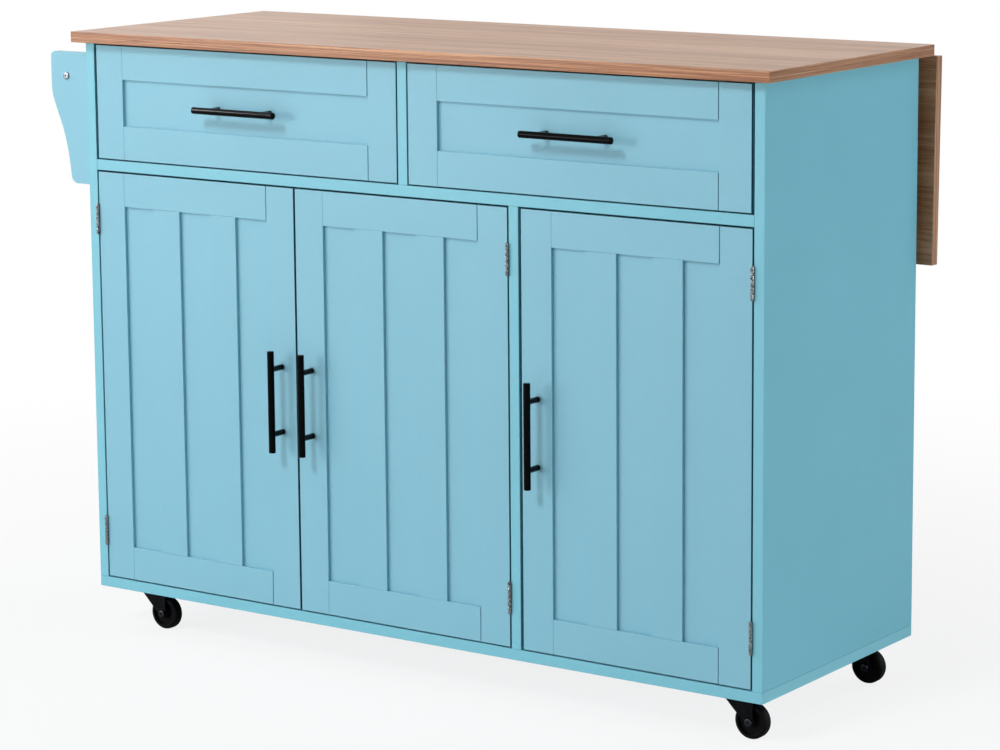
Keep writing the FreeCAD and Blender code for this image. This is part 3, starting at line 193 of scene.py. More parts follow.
def rod(name, start, end, radius, sides):
    """Round bar from one point to another."""
    take()
    run = Vector(end) - Vector(start)
    bpy.ops.mesh.primitive_cylinder_add(vertices=sides, radius=radius, depth=run.length,
                                        location=Vector(start) + run / 2,
                                        rotation=run.to_track_quat("Z", "Y").to_euler())
    piece = bpy.context.object
    piece.name = name
    return settle(piece)


def shape(piece, kind, chosen, *steps):
    """Edit mode steps on the faces or edges that a rule chooses by their place."""
    take(piece)
    mesh = piece.data
    bpy.context.tool_settings.mesh_select_mode = (False, kind == "edges", kind == "faces")
    for items in (mesh.vertices, mesh.edges, mesh.polygons):
        items.foreach_set("select", [False] * len(items))
    if kind == "edges":
        for edge in mesh.edges:
            edge.select = chosen(*(mesh.vertices[i].co for i in edge.vertices))
    else:
        for face in mesh.polygons:
            face.select = chosen(face.center, face.normal)
    bpy.ops.object.mode_set(mode="EDIT")
    for step, settings in steps:
        step(**settings)
    bpy.ops.object.mode_set(mode="OBJECT")
    return piece


def always(*_):
    return True


def facing(direction):
    """Rule that chooses the faces that look in a direction."""
    return lambda centre, normal: normal.dot(direction) > 0.9


def extrude(move):
    """Two steps that pull the chosen faces out by a move."""
    return (bpy.ops.mesh.extrude_region, {}), (bpy.ops.transform.translate, {"value": move})


def inset(width):
    return bpy.ops.mesh.inset, {"thickness": width, "depth": 0}


def bevel(width, segments):
    return bpy.ops.mesh.bevel, {"offset": width, "segments": segments, "affect": "EDGES"}


def taper(share, height):
    """Step that narrows the chosen faces to a share of their width, about the Z axis at a height."""
    return bpy.ops.transform.resize, {"value": (share, share, 1), "center_override": (0, 0, height)}


def joined(name, pieces):
    take(*pieces)
    if len(pieces) > 1:
        bpy.ops.object.join()
    pieces[0].name = name
    return pieces[0]


def carve(piece, tool, operation):
    """Join a tool to a piece or cut it away; the tool is used up."""
    step = piece.modifiers.new("carving", "BOOLEAN")
    step.operation = operation
    step.solver = "EXACT"
    step.object = tool
    take(piece)
    bpy.ops.object.modifier_apply(modifier=step.name)
    bpy.data.objects.remove(tool)
    return piece


def smooth(piece, angle=35):
    """Shade rounded places smooth and keep the flat sides flat."""
    take(piece)
    bpy.ops.object.shade_smooth_by_angle(angle=math.radians(angle))
    weighting = piece.modifiers.new("flat sides", "WEIGHTED_NORMAL")
    weighting.keep_sharp = True
    bpy.ops.object.modifier_apply(modifier=weighting.name)
    return piece


def soften(piece, radius, steps=2, angle=35):
    """Round a piece's sharp edges."""
    rounding = piece.modifiers.new("rounding", "BEVEL")
    rounding.width = radius
    rounding.segments = steps
    rounding.limit_method = "ANGLE"
    rounding.angle_limit = math.radians(angle)
    take(piece)
    bpy.ops.object.modifier_apply(modifier=rounding.name)
    return smooth(piece, angle)


def twin(piece, name, matrix):
    """Copy of a piece with its own mesh, put in place by a matrix."""
    copy = piece.copy()
    copy.data = piece.data.copy()
    copy.name = name
    bpy.context.scene.collection.objects.link(copy)
    copy.data.transform(matrix)
    return copy


def merged_copy(node, name):
    """Copy of a CAD node with its loose triangles merged into whole faces, and its stored normals cleared."""
    piece = twin(NODES[node], name, Matrix.Identity(4))
    piece.parent = None
    piece.hide_render = piece.hide_viewport = False
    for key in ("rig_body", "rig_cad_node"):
        del piece[key]
    piece.data.normals_split_custom_set([(0, 0, 0)] * len(piece.data.loops))
    shape(piece, "faces", always,
          (bpy.ops.mesh.remove_doubles, {"threshold": WELD}),
          (bpy.ops.mesh.dissolve_limited, {"angle_limit": math.radians(0.5)}))
    return piece


def solids_of(node):
    """A CAD node's solids as merged copies, one object each."""
    piece = merged_copy(node, "solid")
    take(piece)
    bpy.ops.mesh.separate(type="LOOSE")
    return list(bpy.context.selected_objects)


def box_of(piece):
    points = [vertex.co for vertex in piece.data.vertices]
    return (Vector(min(p[i] for p in points) for i in range(3)),
            Vector(max(p[i] for p in points) for i in range(3)))


def hand_over(piece, node, *finishes, stands_for=True):
    """Give a piece its finishes, and the body of a CAD node."""
    materials = piece.data.materials
    materials.clear()
    for finish in finishes:
        materials.append(finish)
    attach(piece, BODY_OF[node])
    if stands_for:
        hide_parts(node)


def band(piece, *directions):
    """Put the second finish on the faces that look in these directions."""
    for face in piece.data.polygons:
        if any(face.normal.dot(direction) > 0.98 for direction in directions):
            face.material_index = 1


# Finishes

def linear(colour):
    """Linear colour of an sRGB hex value."""
    shares = [int(colour[i:i + 2], 16) / 255 for i in (1, 3, 5)]
    return tuple(s / 12.92 if s <= 0.04045 else ((s + 0.055) / 1.055) ** 2.4 for s in shares) + (1,)


def per(length):
    """Scale of a pattern whose features are this many millimetres long."""
    return 1 / (length * MM)


def add(tree, kind, inputs=(), stops=(), **settings):
    """Node of a kind with its settings; an input is a value, or a node or socket that it is linked to."""
    item = tree.nodes.new("ShaderNode" + kind)
    for name, value in settings.items():
        setattr(item, name, value)
    for socket, value in dict(inputs).items():
        if isinstance(value, bpy.types.Node):
            value = value.outputs[0]
        if isinstance(value, bpy.types.NodeSocket):
            tree.links.new(value, item.inputs[socket])
        else:
            item.inputs[socket].default_value = value
    for index, (place, colour) in enumerate(stops):
        elements = item.color_ramp.elements
        element = elements[index] if index < 2 else elements.new(place)
        element.position = place
        element.color = linear(colour)
    return item


def bare_tree(item):
    """Emptied node tree of a material or world."""
    item.use_nodes = True
    item.node_tree.nodes.clear()
    return item.node_tree


def start_finish(name):
    """New material, its tree, and the coordinates of the piece that wears it."""
    item = bpy.data.materials.new(name)
    tree = bare_tree(item)
    return item, tree, add(tree, "TexCoord").outputs["Object"]


def painted(name, light, deep, gloss, peel, shine=0.3):
    """Smooth colour coat: nearly even, with a faint mottle and a drift by a shade over a hand's span."""
    item, tree, place = start_finish(name)
    drift = add(tree, "TexNoise", {"Vector": place, "Scale": per(220), "Detail": 2})
    mottle = add(tree, "TexNoise", {"Vector": place, "Scale": per(6), "Detail": 1})
    skin = add(tree, "TexNoise", {"Vector": place, "Scale": per(peel), "Detail": 1})
    share = add(tree, "Mix", {0: 0.2, 2: drift, 3: mottle})
    share = add(tree, "MapRange", {"Value": share, "From Min": 0.25, "From Max": 0.75})
    colour = add(tree, "ValToRGB", {"Fac": share}, stops=((0, deep), (1, light)))
    polish = add(tree, "MapRange", {"Value": mottle, "From Min": 0.3, "From Max": 0.7,
                                    "To Min": gloss - 0.04, "To Max": gloss + 0.05})
    relief = add(tree, "Bump", {"Height": skin, "Distance": 0.012 * MM})
    shader = add(tree, "BsdfPrincipled", {"Base Color": colour, "Roughness": polish, "Normal": relief,
                                          "IOR": 1.49, "Specular IOR Level": shine})
    add(tree, "OutputMaterial", {"Surface": shader})
    return item


# Satin lacquer sprayed on fibreboard: an even aqua with fine orange peel, so that highlights stay soft
LACQUER = painted("satin_lacquer_sprayed_on_fibreboard", "#89C2D5", "#85BED1", 0.4, 2.4)
# Cut edges of the fronts, which line the gaps: painted shade, deeper and duller than the faces, so that the
# gaps round the fronts look dark
PAINTED_SHADE_EDGE = painted("edge_lacquer_darkened_as_painted_gap_shade", "#3C6E7D", "#386877", 0.6, 2.4, 0.08)
# Melamine paper pressed on the case boards: a shade deeper than the lacquer, with a fine even grain
CASE_PAPER = painted("aqua_melamine_pressed_on_chipboard", "#77BFD3", "#73BBCF", 0.42, 1.6)
# ABS band, extruded and glued round the boards: a shade brighter and a little glossier than the lacquer
BANDING = painted("abs_edge_band_extruded", "#83C9DA", "#7FC5D6", 0.34, 1.1)


def woodgrain(name, along, across, stops, line, gloss, line_share=0.6, line_width=0.035):
    """Woodgrain along an axis: broad bands, long streaks, dark lines, fibres and pores.

    Fibres and pores are a few times wider than real ones, which would be too fine to show.
    """
    item, tree, place = start_finish(name)

    def run(length, width, detail, roughness=0.5, distortion=0):
        """Noise drawn out along the grain, its length and width in millimetres."""
        scale = [per(length if axis == along else width) for axis in range(3)]
        drawn_out = add(tree, "Mapping", {"Vector": place, "Scale": scale})
        return add(tree, "TexNoise", {"Vector": drawn_out, "Scale": 1, "Detail": detail,
                                      "Roughness": roughness, "Distortion": distortion})

    bands = run(1500, 7 * across, 3, distortion=0.5)
    streaks = run(420, across, 5, roughness=0.6, distortion=0.7)
    fibres = run(60, 1.1, 2)
    lines = run(380, 0.55 * across, 3, distortion=0.4)
    pores = run(14, 0.8, 1)
    mixed = add(tree, "Mix", {0: 0.45, 2: streaks, 3: bands})
    mixed = add(tree, "Mix", {0: 0.18, 2: mixed, 3: fibres})
    mixed = add(tree, "MapRange", {"Value": mixed, "From Min": 0.36, "From Max": 0.64})
    tone = add(tree, "ValToRGB", {"Fac": mixed}, stops=stops)
    ringed = add(tree, "Math", {0: lines, 1: 0.5}, operation="SUBTRACT")
    ringed = add(tree, "Math", {0: ringed}, operation="ABSOLUTE")
    ringed = add(tree, "MapRange", {"Value": ringed, "From Min": 0, "From Max": line_width,
                                    "To Min": line_share, "To Max": 0})
    pitted = add(tree, "MapRange", {"Value": pores, "From Min": 0.28, "From Max": 0.4,
                                    "To Min": 0.4, "To Max": 0})
    dark = add(tree, "Math", {0: ringed, 1: pitted}, operation="MAXIMUM")
    colour = add(tree, "Mix", {0: dark, 6: tone, 7: linear(line)}, data_type="RGBA").outputs[2]
    polish = add(tree, "MapRange", {"Value": fibres, "From Min": 0.3, "From Max": 0.7,
                                    "To Min": gloss - 0.03, "To Max": gloss + 0.07})
    relief = add(tree, "Bump", {"Height": fibres, "Distance": 0.03 * MM, "Strength": 0.5})
    shader = add(tree, "BsdfPrincipled", {"Base Color": colour, "Roughness": polish, "Normal": relief,
                                          "IOR": 1.5, "Specular IOR Level": 0.45})
    add(tree, "OutputMaterial", {"Surface": shader})
    return item


# Melamine paper pressed on chipboard: pale reddish oak print under a matt skin that mirrors at flat angles
MELAMINE = woodgrain("woodgrain_melamine_pressed", 0, 15,
                     ((0, "#956745"), (0.35, "#B4835C"), (0.62, "#C69772"), (1, "#D1A783")), "#7A4E35", 0.36)
# Printed edge band: the same print with closer lines, which follow the length of each strip
LONG_BAND = woodgrain("woodgrain_edge_band_long_side", 0, 3.2,
                      ((0, "#8E5632"), (0.35, "#B2784B"), (0.62, "#C68D60"), (1, "#D6A47A")), "#783C1B",
                      0.34, line_share=0.9, line_width=0.1)
SIDE_BAND, HANGING_BAND = (
    woodgrain("woodgrain_edge_band_" + word, along, 3.2,
              ((0, "#8A5A3E"), (0.35, "#AC8060"), (0.62, "#C09575"), (1, "#CCA98B")), "#74452B",
              0.34, line_share=0.9, line_width=0.1)
    for along, word in ((1, "short_side"), (2, "leaf_end")))
# Turned beech with clear lacquer: warm, close grained, with short flecks
BEECH = woodgrain("beech_turned_and_lacquered", 1, 5,
                  ((0, "#B98B60"), (0.35, "#C99C70"), (0.62, "#D2A97F"), (1, "#DAB48C")), "#9A6E45", 0.34)


def blacked(name, tone, worn, gloss, speck, shine=0.07):
    """Black surface: nearly even in tone, with a fine speck that breaks the highlight."""
    item, tree, place = start_finish(name)
    specks = add(tree, "TexNoise", {"Vector": place, "Scale": per(speck), "Detail": 2})
    clouds = add(tree, "TexNoise", {"Vector": place, "Scale": per(22), "Detail": 3})
    share = add(tree, "MapRange", {"Value": clouds, "From Min": 0.3, "From Max": 0.7})
    colour = add(tree, "ValToRGB", {"Fac": share}, stops=((0, tone), (1, worn)))
    polish = add(tree, "MapRange", {"Value": clouds, "From Min": 0.3, "From Max": 0.7,
                                    "To Min": gloss - 0.05, "To Max": gloss + 0.07})
    relief = add(tree, "Bump", {"Height": specks, "Distance": 0.005 * MM})
    shader = add(tree, "BsdfPrincipled", {"Base Color": colour, "Roughness": polish, "Normal": relief,
                                          "IOR": 1.5, "Specular IOR Level": shine})
    add(tree, "OutputMaterial", {"Surface": shader})
    return item


# Black powder coat baked on steel bar: glossy, so that the lamps draw thin lines of light along it
POWDER_COAT = blacked("black_powder_coat_baked_on_steel", "#020203", "#050507", 0.1, 0.5, 0.05)
# Black enamel dipped over pressed sheet steel: a little duller, with faint clouds
ENAMEL = blacked("black_enamel_on_pressed_steel", "#08080A", "#0E0E11", 0.36, 0.9)
# Black nylon from a mould: dull, with the fine spark-eroded texture of the mould
NYLON = blacked("black_nylon_moulded", "#050506", "#0A0A0C", 0.48, 0.35)


def metal(name, light, deep, gloss, patch):
    """Bare plated metal with small differences in tone and polish."""
    item, tree, place = start_finish(name)
    patches = add(tree, "TexNoise", {"Vector": place, "Scale": per(patch), "Detail": 3})
    drawn_out = add(tree, "Mapping", {"Vector": place, "Scale": (per(0.5), per(0.5), per(6))})
    lines = add(tree, "TexNoise", {"Vector": drawn_out, "Scale": 1, "Detail": 1})
    share = add(tree, "MapRange", {"Value": patches, "From Min": 0.3, "From Max": 0.7})
    colour = add(tree, "ValToRGB", {"Fac": share}, stops=((0, deep), (1, light)))
    polish = add(tree, "MapRange", {"Value": patches, "From Min": 0.3, "From Max": 0.7,
                                    "To Min": gloss + 0.08, "To Max": gloss - 0.05})
    relief = add(tree, "Bump", {"Height": lines, "Distance": 0.006 * MM})
    shader = add(tree, "BsdfPrincipled", {"Base Color": colour, "Roughness": polish, "Normal": relief,
                                          "Metallic": 1.0})
    add(tree, "OutputMaterial", {"Surface": shader})
    return item


# Bright zinc plating on steel: silvery with a faint blue cast
ZINC = metal("zinc_plated_steel_bright", "#989CA2", "#5E6268", 0.28, 5)
# Zinc plating on the rolled hinge knuckles, with painted reflection: small patches of its colour are bright
# and nearly black, in place of the room mirrored in it
ZINC_WITH_PAINTED_REFLECTION = metal("zinc_plated_steel_with_painted_reflection", "#B4B6B8", "#060707", 0.26, 1.8)
# Black zinc plating on the axle bolts: dark, with a metallic edge to it
BLACK_ZINC = metal("black_zinc_plated_steel", "#3C3C40", "#2A2A2D", 0.28, 4)


def galvanised():
    """Cold rolled galvanised sheet: flat spangles a few millimetres wide, each with its own tone."""
    item, tree, place = start_finish("galvanised_steel_rolled")
    spangle = add(tree, "TexVoronoi", {"Vector": place, "Scale": per(4)}).outputs["Color"]
    tone = add(tree, "SeparateColor", {"Color": spangle})
    colour = add(tree, "ValToRGB", {"Fac": tone}, stops=((0, "#A9ACAD"), (1, "#C4C7C8")))
    polish = add(tree, "MapRange", {"Value": tone, "To Min": 0.34, "To Max": 0.46})
    shader = add(tree, "BsdfPrincipled", {"Base Color": colour, "Roughness": polish, "Metallic": 1.0})
    add(tree, "OutputMaterial", {"Surface": shader})
    return item


GALVANISED = galvanised()
# White ABS from a mould: smooth and slightly creamy
WHITE_ABS = painted("white_abs_moulded", "#E9E8E2", "#E2E1DA", 0.35, 1.4)


# Boards of the case

def board(node, *banded, face=CASE_PAPER, edge=BANDING):
    """Board in the place of its node, with its own edge finish on the sides that face these directions."""
    piece = soften(block("finished_" + node, *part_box(node)), BOARD_ROUND)
    hand_over(piece, node, face, edge)
    band(piece, *banded)


board("base_board", FRONT, BACK, LEFT, RIGHT)
for node in ("side_panel_left", "side_panel_right", "centre_partition", "drawer_shelf", "drawer_divider",
             "shelf_left", "shelf_right"):
    board(node, FRONT)
board("back_panel")


# Fronts

def face_strips(node, battens):
    """Stiles, rails and upright battens of a front, with painted gap shade on the edges round the outside."""
    low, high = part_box(node)
    left, right = low.x + STILE, high.x - STILE
    spans = [(low.x, left, low.z, high.z), (right, high.x, low.z, high.z),
             (left, right - JOINT_GAP, high.z - RAIL, high.z), (left, right - JOINT_GAP, low.z, low.z + RAIL)]
    recess = (right - left - battens * BATTEN) / (battens + 1)
    for number in range(battens):
        start = left + (number + 1) * recess + number * BATTEN
        spans.append((start, start + BATTEN, low.z + RAIL, high.z - RAIL))
    strips = [block("strip", (x0, low.y, z0), (x1, high.y, z1)) for x0, x1, z0, z1 in spans]
    piece = soften(joined("finished_" + node, strips), STRIP_ROUND)
    hand_over(piece, node, LACQUER, PAINTED_SHADE_EDGE)
    # The edges round the outside of the strips get the painted gap shade
    for face in piece.data.polygons:
        centre = face.center
        reach = min(centre.x - low.x, high.x - centre.x, centre.z - low.z, high.z - centre.z)
        face.material_index = int(reach < STRIP_ROUND / 4)


def drawer_box(node):
    """Sides, back and bottom of a drawer."""
    low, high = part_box(node)
    inner = (low.x + BOX_SIDE, high.x - BOX_SIDE)
    floor = low.z + BOX_BOTTOM_LIFT
    parts = [block("side", (low.x, low.y, low.z), (inner[0], high.y, high.z)),
             block("side", (inner[1], low.y, low.z), (high.x, high.y, high.z)),
             block("back", (inner[0], high.y - BOX_SIDE, low.z), (inner[1], high.y, high.z)),
             block("bottom", (inner[0], low.y, floor), (inner[1], high.y - BOX_SIDE, floor + BOX_BOTTOM))]
    piece = soften(joined("finished_" + node, parts), BOARD_ROUND)
    hand_over(piece, node, CASE_PAPER, BANDING)
    band(piece, UP)


def bar_handle(node):
    """Round bar on two posts, upright or lying as its node is."""
    low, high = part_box(node)
    upright = high.z - low.z > high.x - low.x
    along = UP if upright else RIGHT
    middle = (low + high) / 2
    middle.y = low.y + HANDLE_RADIUS
    half = (high - low).dot(along) / 2
    bar = rod("bar", middle - along * half, middle + along * half, HANDLE_RADIUS, 40)
    soften(bar, HANDLE_ROUND, 3)
    for side in (-1, 1):
        start = middle + along * side * HANDLE_CENTRES / 2
        carve(bar, rod("post", start, start + BACK * HANDLE_STANDOFF, HANDLE_POST, 28), "UNION")
    smooth(bar)
    bar.name = "finished_" + node
    hand_over(bar, node, POWDER_COAT)


# The edges of the door and drawer panels wear painted shade, which darkens the gaps round them
for word in ("left", "middle", "right"):
    board("door_%s_panel" % word, LEFT, RIGHT, UP, DOWN, face=LACQUER, edge=PAINTED_SHADE_EDGE)
    face_strips("door_%s_face_strips" % word, 2)
    bar_handle("door_%s_handle" % word)
for word in ("left", "right"):
    board("drawer_%s_front_panel" % word, LEFT, RIGHT, UP, DOWN, face=LACQUER, edge=PAINTED_SHADE_EDGE)
    face_strips("drawer_%s_face_strips" % word, 0)
    drawer_box("drawer_%s_box" % word)
    bar_handle("drawer_%s_handle" % word)


# Worktop, drop leaf and towel rack

def top_board(piece, node, across, end_band):
    """Laminate on the faces and printed band on the narrow sides."""
    soften(piece, WORKTOP_ROUND, 3)
    hand_over(piece, node, MELAMINE, LONG_BAND, end_band)
    for face in piece.data.polygons:
        if abs(face.normal.dot(across)) < 0.9:
            face.material_index = 2 if abs(face.normal.x) > 0.7 else 1


top_board(block("finished_worktop", *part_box("worktop")), "worktop", UP, SIDE_BAND)

leaf_low, leaf_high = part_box("drop_leaf")
leaf_offset = Vector((0, LEAF_OFF + LEAF_THICKNESS / 2, LEAF_RISE - LEAF_LENGTH / 2))
leaf_offset.rotate(Matrix.Rotation(-LEAF_LEAN, 3, "X"))
leaf_middle = LEAF_PIVOT + leaf_offset + RIGHT * (leaf_low.x + leaf_high.x) / 2
leaf_half = Vector((leaf_high.x - leaf_low.x, LEAF_THICKNESS, LEAF_LENGTH)) / 2
leaf_board = block("finished_drop_leaf", leaf_middle - leaf_half, leaf_middle + leaf_half, -LEAF_LEAN)
top_board(leaf_board, "drop_leaf", BACK, HANGING_BAND)

brackets = soften(merged_copy("towel_brackets", "finished_towel_brackets"), RACK_ROUND, 2, 40)
hand_over(brackets, "towel_brackets", LACQUER, BANDING)
for face in brackets.data.polygons:
    face.material_index = int(abs(face.normal.y) < 0.2)

bar_low, bar_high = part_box("towel_bar")
bar_middle = (bar_low + bar_high) / 2
bar_front = (bar_middle.x, bar_low.y, bar_middle.z)
bar_back = (bar_middle.x, bar_high.y, bar_middle.z)
towel_bar = rod("finished_towel_bar", bar_front, bar_back, (bar_high.z - bar_low.z) / 2, 48)
hand_over(soften(towel_bar, RACK_ROUND), "towel_bar", BEECH)


# Screws

def cross_recess(reach, width, depth):
    """Tapered cross that cuts the recess of a screw head whose top is at height 1."""
    arms = [block("arm", (-reach, -width, 1 - depth), (reach, width, 1.1)),
            block("arm", (-width, -reach, 1 - depth), (width, reach, 1.1))]
    cross = carve(arms[0], arms[1], "UNION")
    return shape(cross, "faces", facing(DOWN), taper(0.55, 1 - depth))


def pan_head():
    """Domed head with a radius of 1, from height 0 to 1."""
    head = rod("pan_head", (0, 0, 0), (0, 0, 1), 1, 28)
    shape(head, "edges", lambda a, b: a.z > 0.9 and b.z > 0.9, bevel(0.42, 4))
    return smooth(carve(head, cross_recess(reach=0.5, width=0.11, depth=0.62), "DIFFERENCE"), 40)


def flat_head():
    """Countersunk head with a radius of 1 at height 1, tapering down to height 0."""
    head = rod("flat_head", (0, 0, 0), (0, 0, 1), 1, 28)
    shape(head, "faces", facing(DOWN), taper(0.56, 0))
    return smooth(carve(head, cross_recess(reach=0.55, width=0.12, depth=0.7), "DIFFERENCE"), 40)


def screw_shank():
    """Shank with a radius of 1, from height 0 down to a blunt point at height -1."""
    shank = rod("shank", (0, 0, -1), (0, 0, 0), 1, 14)
    return smooth(shape(shank, "faces", facing(DOWN), taper(0.6, -1)))


PAN_HEAD, FLAT_HEAD, SHANK = pan_head(), flat_head(), screw_shank()


def set_screw(head, seat, out, head_size, shank_size):
    """Head looking out from its seat and shank behind it, each size a radius and a length."""
    turn = Matrix.Translation(seat) @ out.to_track_quat("Z", "Y").to_matrix().to_4x4()
    return [twin(form, "screw", turn @ Matrix.Diagonal((radius, radius, length, 1)))
            for form, (radius, length) in ((head, head_size), (SHANK, shank_size))]


def screw_in_place(solid):
    """Head and shank that follow the size and place of a CAD screw."""
    low, high = box_of(solid)
    spans = high - low
    axis = max(range(3), key=lambda i: spans[i])
    middle = (low + high) / 2
    across = [i for i in range(3) if i != axis]
    reach = [(v.co[axis], math.hypot(*(v.co[i] - middle[i] for i in across))) for v in solid.data.vertices]
    radius = max(r for _, r in reach)
    wide = [place for place, r in reach if r > 0.95 * radius]
    shank_radius = min(r for _, r in reach if r > 0.1 * radius)
    upward = sum(wide) / len(wide) > middle[axis]
    out = Vector([float(i == axis) for i in range(3)]) * (1 if upward else -1)
    flat = max(wide) - min(wide) < FLAT_HEAD_RIM
    height = FLAT_HEAD_HEIGHT if flat else max(wide) - min(wide)
    seat = middle + out * (spans[axis] / 2 - height)
    head = FLAT_HEAD if flat else PAN_HEAD
    return set_screw(head, seat, out, (radius, height), (shank_radius, spans[axis] - height))


def screws(node, name):
    """Detailed screws for a node's round solids; gives back its other solids, which are no screws."""
    parts, others = [], []
    for solid in solids_of(node):
        low, high = box_of(solid)
        spans = sorted(high - low)
        # A screw is as wide as it is deep, and has more corners than a plate
        if abs(spans[0] - spans[1]) < ROUND_WITHIN * spans[1] and len(solid.data.vertices) > PLATE_CORNERS:
            parts += screw_in_place(solid)
            bpy.data.objects.remove(solid)
        else:
            others.append(solid)
    hand_over(joined(name, parts), node, ZINC)
    return others


screws("carcass_screws", "finished_carcass_screws")
screws("leaf_screws", "finished_leaf_screws")
for word in ("left", "middle", "right"):
    node = "door_%s_fixings" % word
    strike = screws(node, "door_%s_screws" % word)
    plate = soften(joined("door_%s_strike_plate" % word, strike), SHEET_ROUND)
    hand_over(plate, node, ZINC, stands_for=False)
for word in ("left", "right"):
    node = "drawer_%s_handle" % word
    low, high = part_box(node)
    seat = (low + high) / 2
    seat.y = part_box("drawer_%s_front_panel" % word)[1].y
    parts = []
    for side in (-1, 1):
        parts += set_screw(PAN_HEAD, seat + RIGHT * side * HANDLE_CENTRES / 2, BACK,
                           HANDLE_SCREW_HEAD, HANDLE_SCREW_SHANK)
    hand_over(joined("drawer_%s_handle_screws" % word, parts), node, ZINC, stands_for=False)


# Hinges, slides, stays and catches

door_axes = set()
for pin in solids_of("hinge_pins"):
    low, high = box_of(pin)
    bpy.data.objects.remove(pin)
    if (high - low).z > (high - low).x:
        door_axes.add(((low.x + high.x) / 2, (low.y + high.y) / 2))


def parted_knuckles(piece):
    """Bevel the end rings of the doors' knuckles, so that a dark groove parts each from the next."""
    def ring(a, b):
        return abs(a.z - b.z) < SAME and any(
            all(abs(math.hypot(p.x - x, p.y - y) - KNUCKLE_RADIUS) < CLOSE for p in (a, b))
            for x, y in door_axes)
    shape(piece, "edges", ring, bevel(KNUCKLE_GROOVE, 2))


def metalwork(node, metal_finish, knuckles=False):
    """Plated or rolled part in the place of its node, its sheared edges eased."""
    piece = merged_copy(node, "finished_" + node)
    if knuckles:
        parted_knuckles(piece)
    hand_over(soften(piece, SHEET_ROUND), node, metal_finish)


# The hinges wear zinc with a painted reflection pattern
for node in ("door_hinge_frame_leaves", "door_left_hinge_leaves", "door_middle_hinge_leaves",
             "door_right_hinge_leaves"):
    metalwork(node, ZINC_WITH_PAINTED_REFLECTION, knuckles=True)
for node in ("leaf_hinge_plates", "leaf_hinge_flaps", "hinge_pins", "shelf_pins", "stay_brackets",
             "stay_strut_left", "stay_strut_right"):
    metalwork(node, ZINC)
for node in ("stay_rails", "drawer_slide_rails", "drawer_left_runners", "drawer_right_runners"):
    metalwork(node, GALVANISED)

catches = []
for solid in solids_of("door_catches"):
    low, high = box_of(solid)
    bpy.data.objects.remove(solid)
    catch = block("catch", low, high)
    catches.append(shape(catch, "faces", facing(FRONT), inset(CATCH_WALL), *extrude((0, CATCH_POCKET, 0))))
hand_over(soften(joined("finished_door_catches", catches), CATCH_ROUND), "door_catches", WHITE_ABS)


# Casters

def wheel(middle):
    """Moulded wheel with a raised rim, a recessed disc, a hub and a bore."""
    half = TREAD_WIDTH / 2
    piece = rod("wheel", middle - BACK * half, middle + BACK * half, WHEEL_RADIUS, 64)
    shape(piece, "edges", lambda a, b: abs(a.y - b.y) < SAME, bevel(TREAD_ROUND, 4))
    for side in (-1, 1):
        def cap(centre, normal, side=side):
            return normal.y * side > 0.9 and (centre - middle).length < half + NEAR
        shape(piece, "faces", cap,
              inset(WHEEL_RIM - TREAD_ROUND),
              *extrude((0, side * (WHEEL_WEB / 2 - half), 0)),
              inset(WHEEL_RADIUS - WHEEL_RIM - HUB_RADIUS),
              *extrude((0, side * (HUB_WIDTH - WHEEL_WEB) / 2, 0)),
              inset(HUB_RADIUS - AXLE_BORE))
    shape(piece, "faces", lambda centre, normal: abs(normal.y) > 0.9
          and math.hypot(centre.x - middle.x, centre.z - middle.z) < NEAR,
          (bpy.ops.mesh.bridge_edge_loops, {}))
    return soften(piece, WHEEL_ROUND, 2, 40)


def axle_bolt(middle):
    """Cross-headed bolt through both cheeks, with a hexagonal nut at the back."""
    start, end = middle - BACK * FORK_HALF, middle + BACK * FORK_HALF
    turn = FRONT.to_track_quat("Z", "Y").to_matrix().to_4x4()
    size = Matrix.Diagonal((BOLT_RADIUS, BOLT_RADIUS, BOLT_HEAD, 1))
    head = twin(PAN_HEAD, "head", Matrix.Translation(start) @ turn @ size)
    nut = soften(rod("nut", end, end + BACK * BOLT_HEAD, BOLT_RADIUS, 6), NUT_ROUND)
    return joined("axle_bolt", [head, smooth(rod("shank", start, end, AXLE_RADIUS, 20)), nut])


def pressed_fork(node, axle):
    """Fork of pressed sheet, its cheeks bent down over a rounded corner, without its node's plain bolt."""
    def of_the_bolt(a, b):
        reach = [math.hypot(p.x - axle.x, p.z - axle.z) for p in (a, b)]
        side = [abs(p.y - axle.y) for p in (a, b)]
        seat = min(side) > FORK_HALF - SAME and 0.9 * BOLT_RADIUS < max(reach) < BOLT_RADIUS + NEAR
        shank = (a.y - axle.y) * (b.y - axle.y) < 0 and max(reach) < AXLE_RADIUS + NEAR
        return max(side) > FORK_HALF + SAME or seat or shank
    fork = shape(merged_copy(node, "fork"), "edges", of_the_bolt, (bpy.ops.mesh.delete, {"type": "EDGE"}))
    low, high = box_of(fork)
    shape(fork, "edges", lambda a, b: min(a.z, b.z) > high.z - SAME and abs(a.y - b.y) < SAME
          and (min(a.y, b.y) > high.y - SAME or max(a.y, b.y) < low.y + SAME),
          bevel(FORK_BEND, 4))
    return soften(fork, FORK_ROUND, 2, 40)


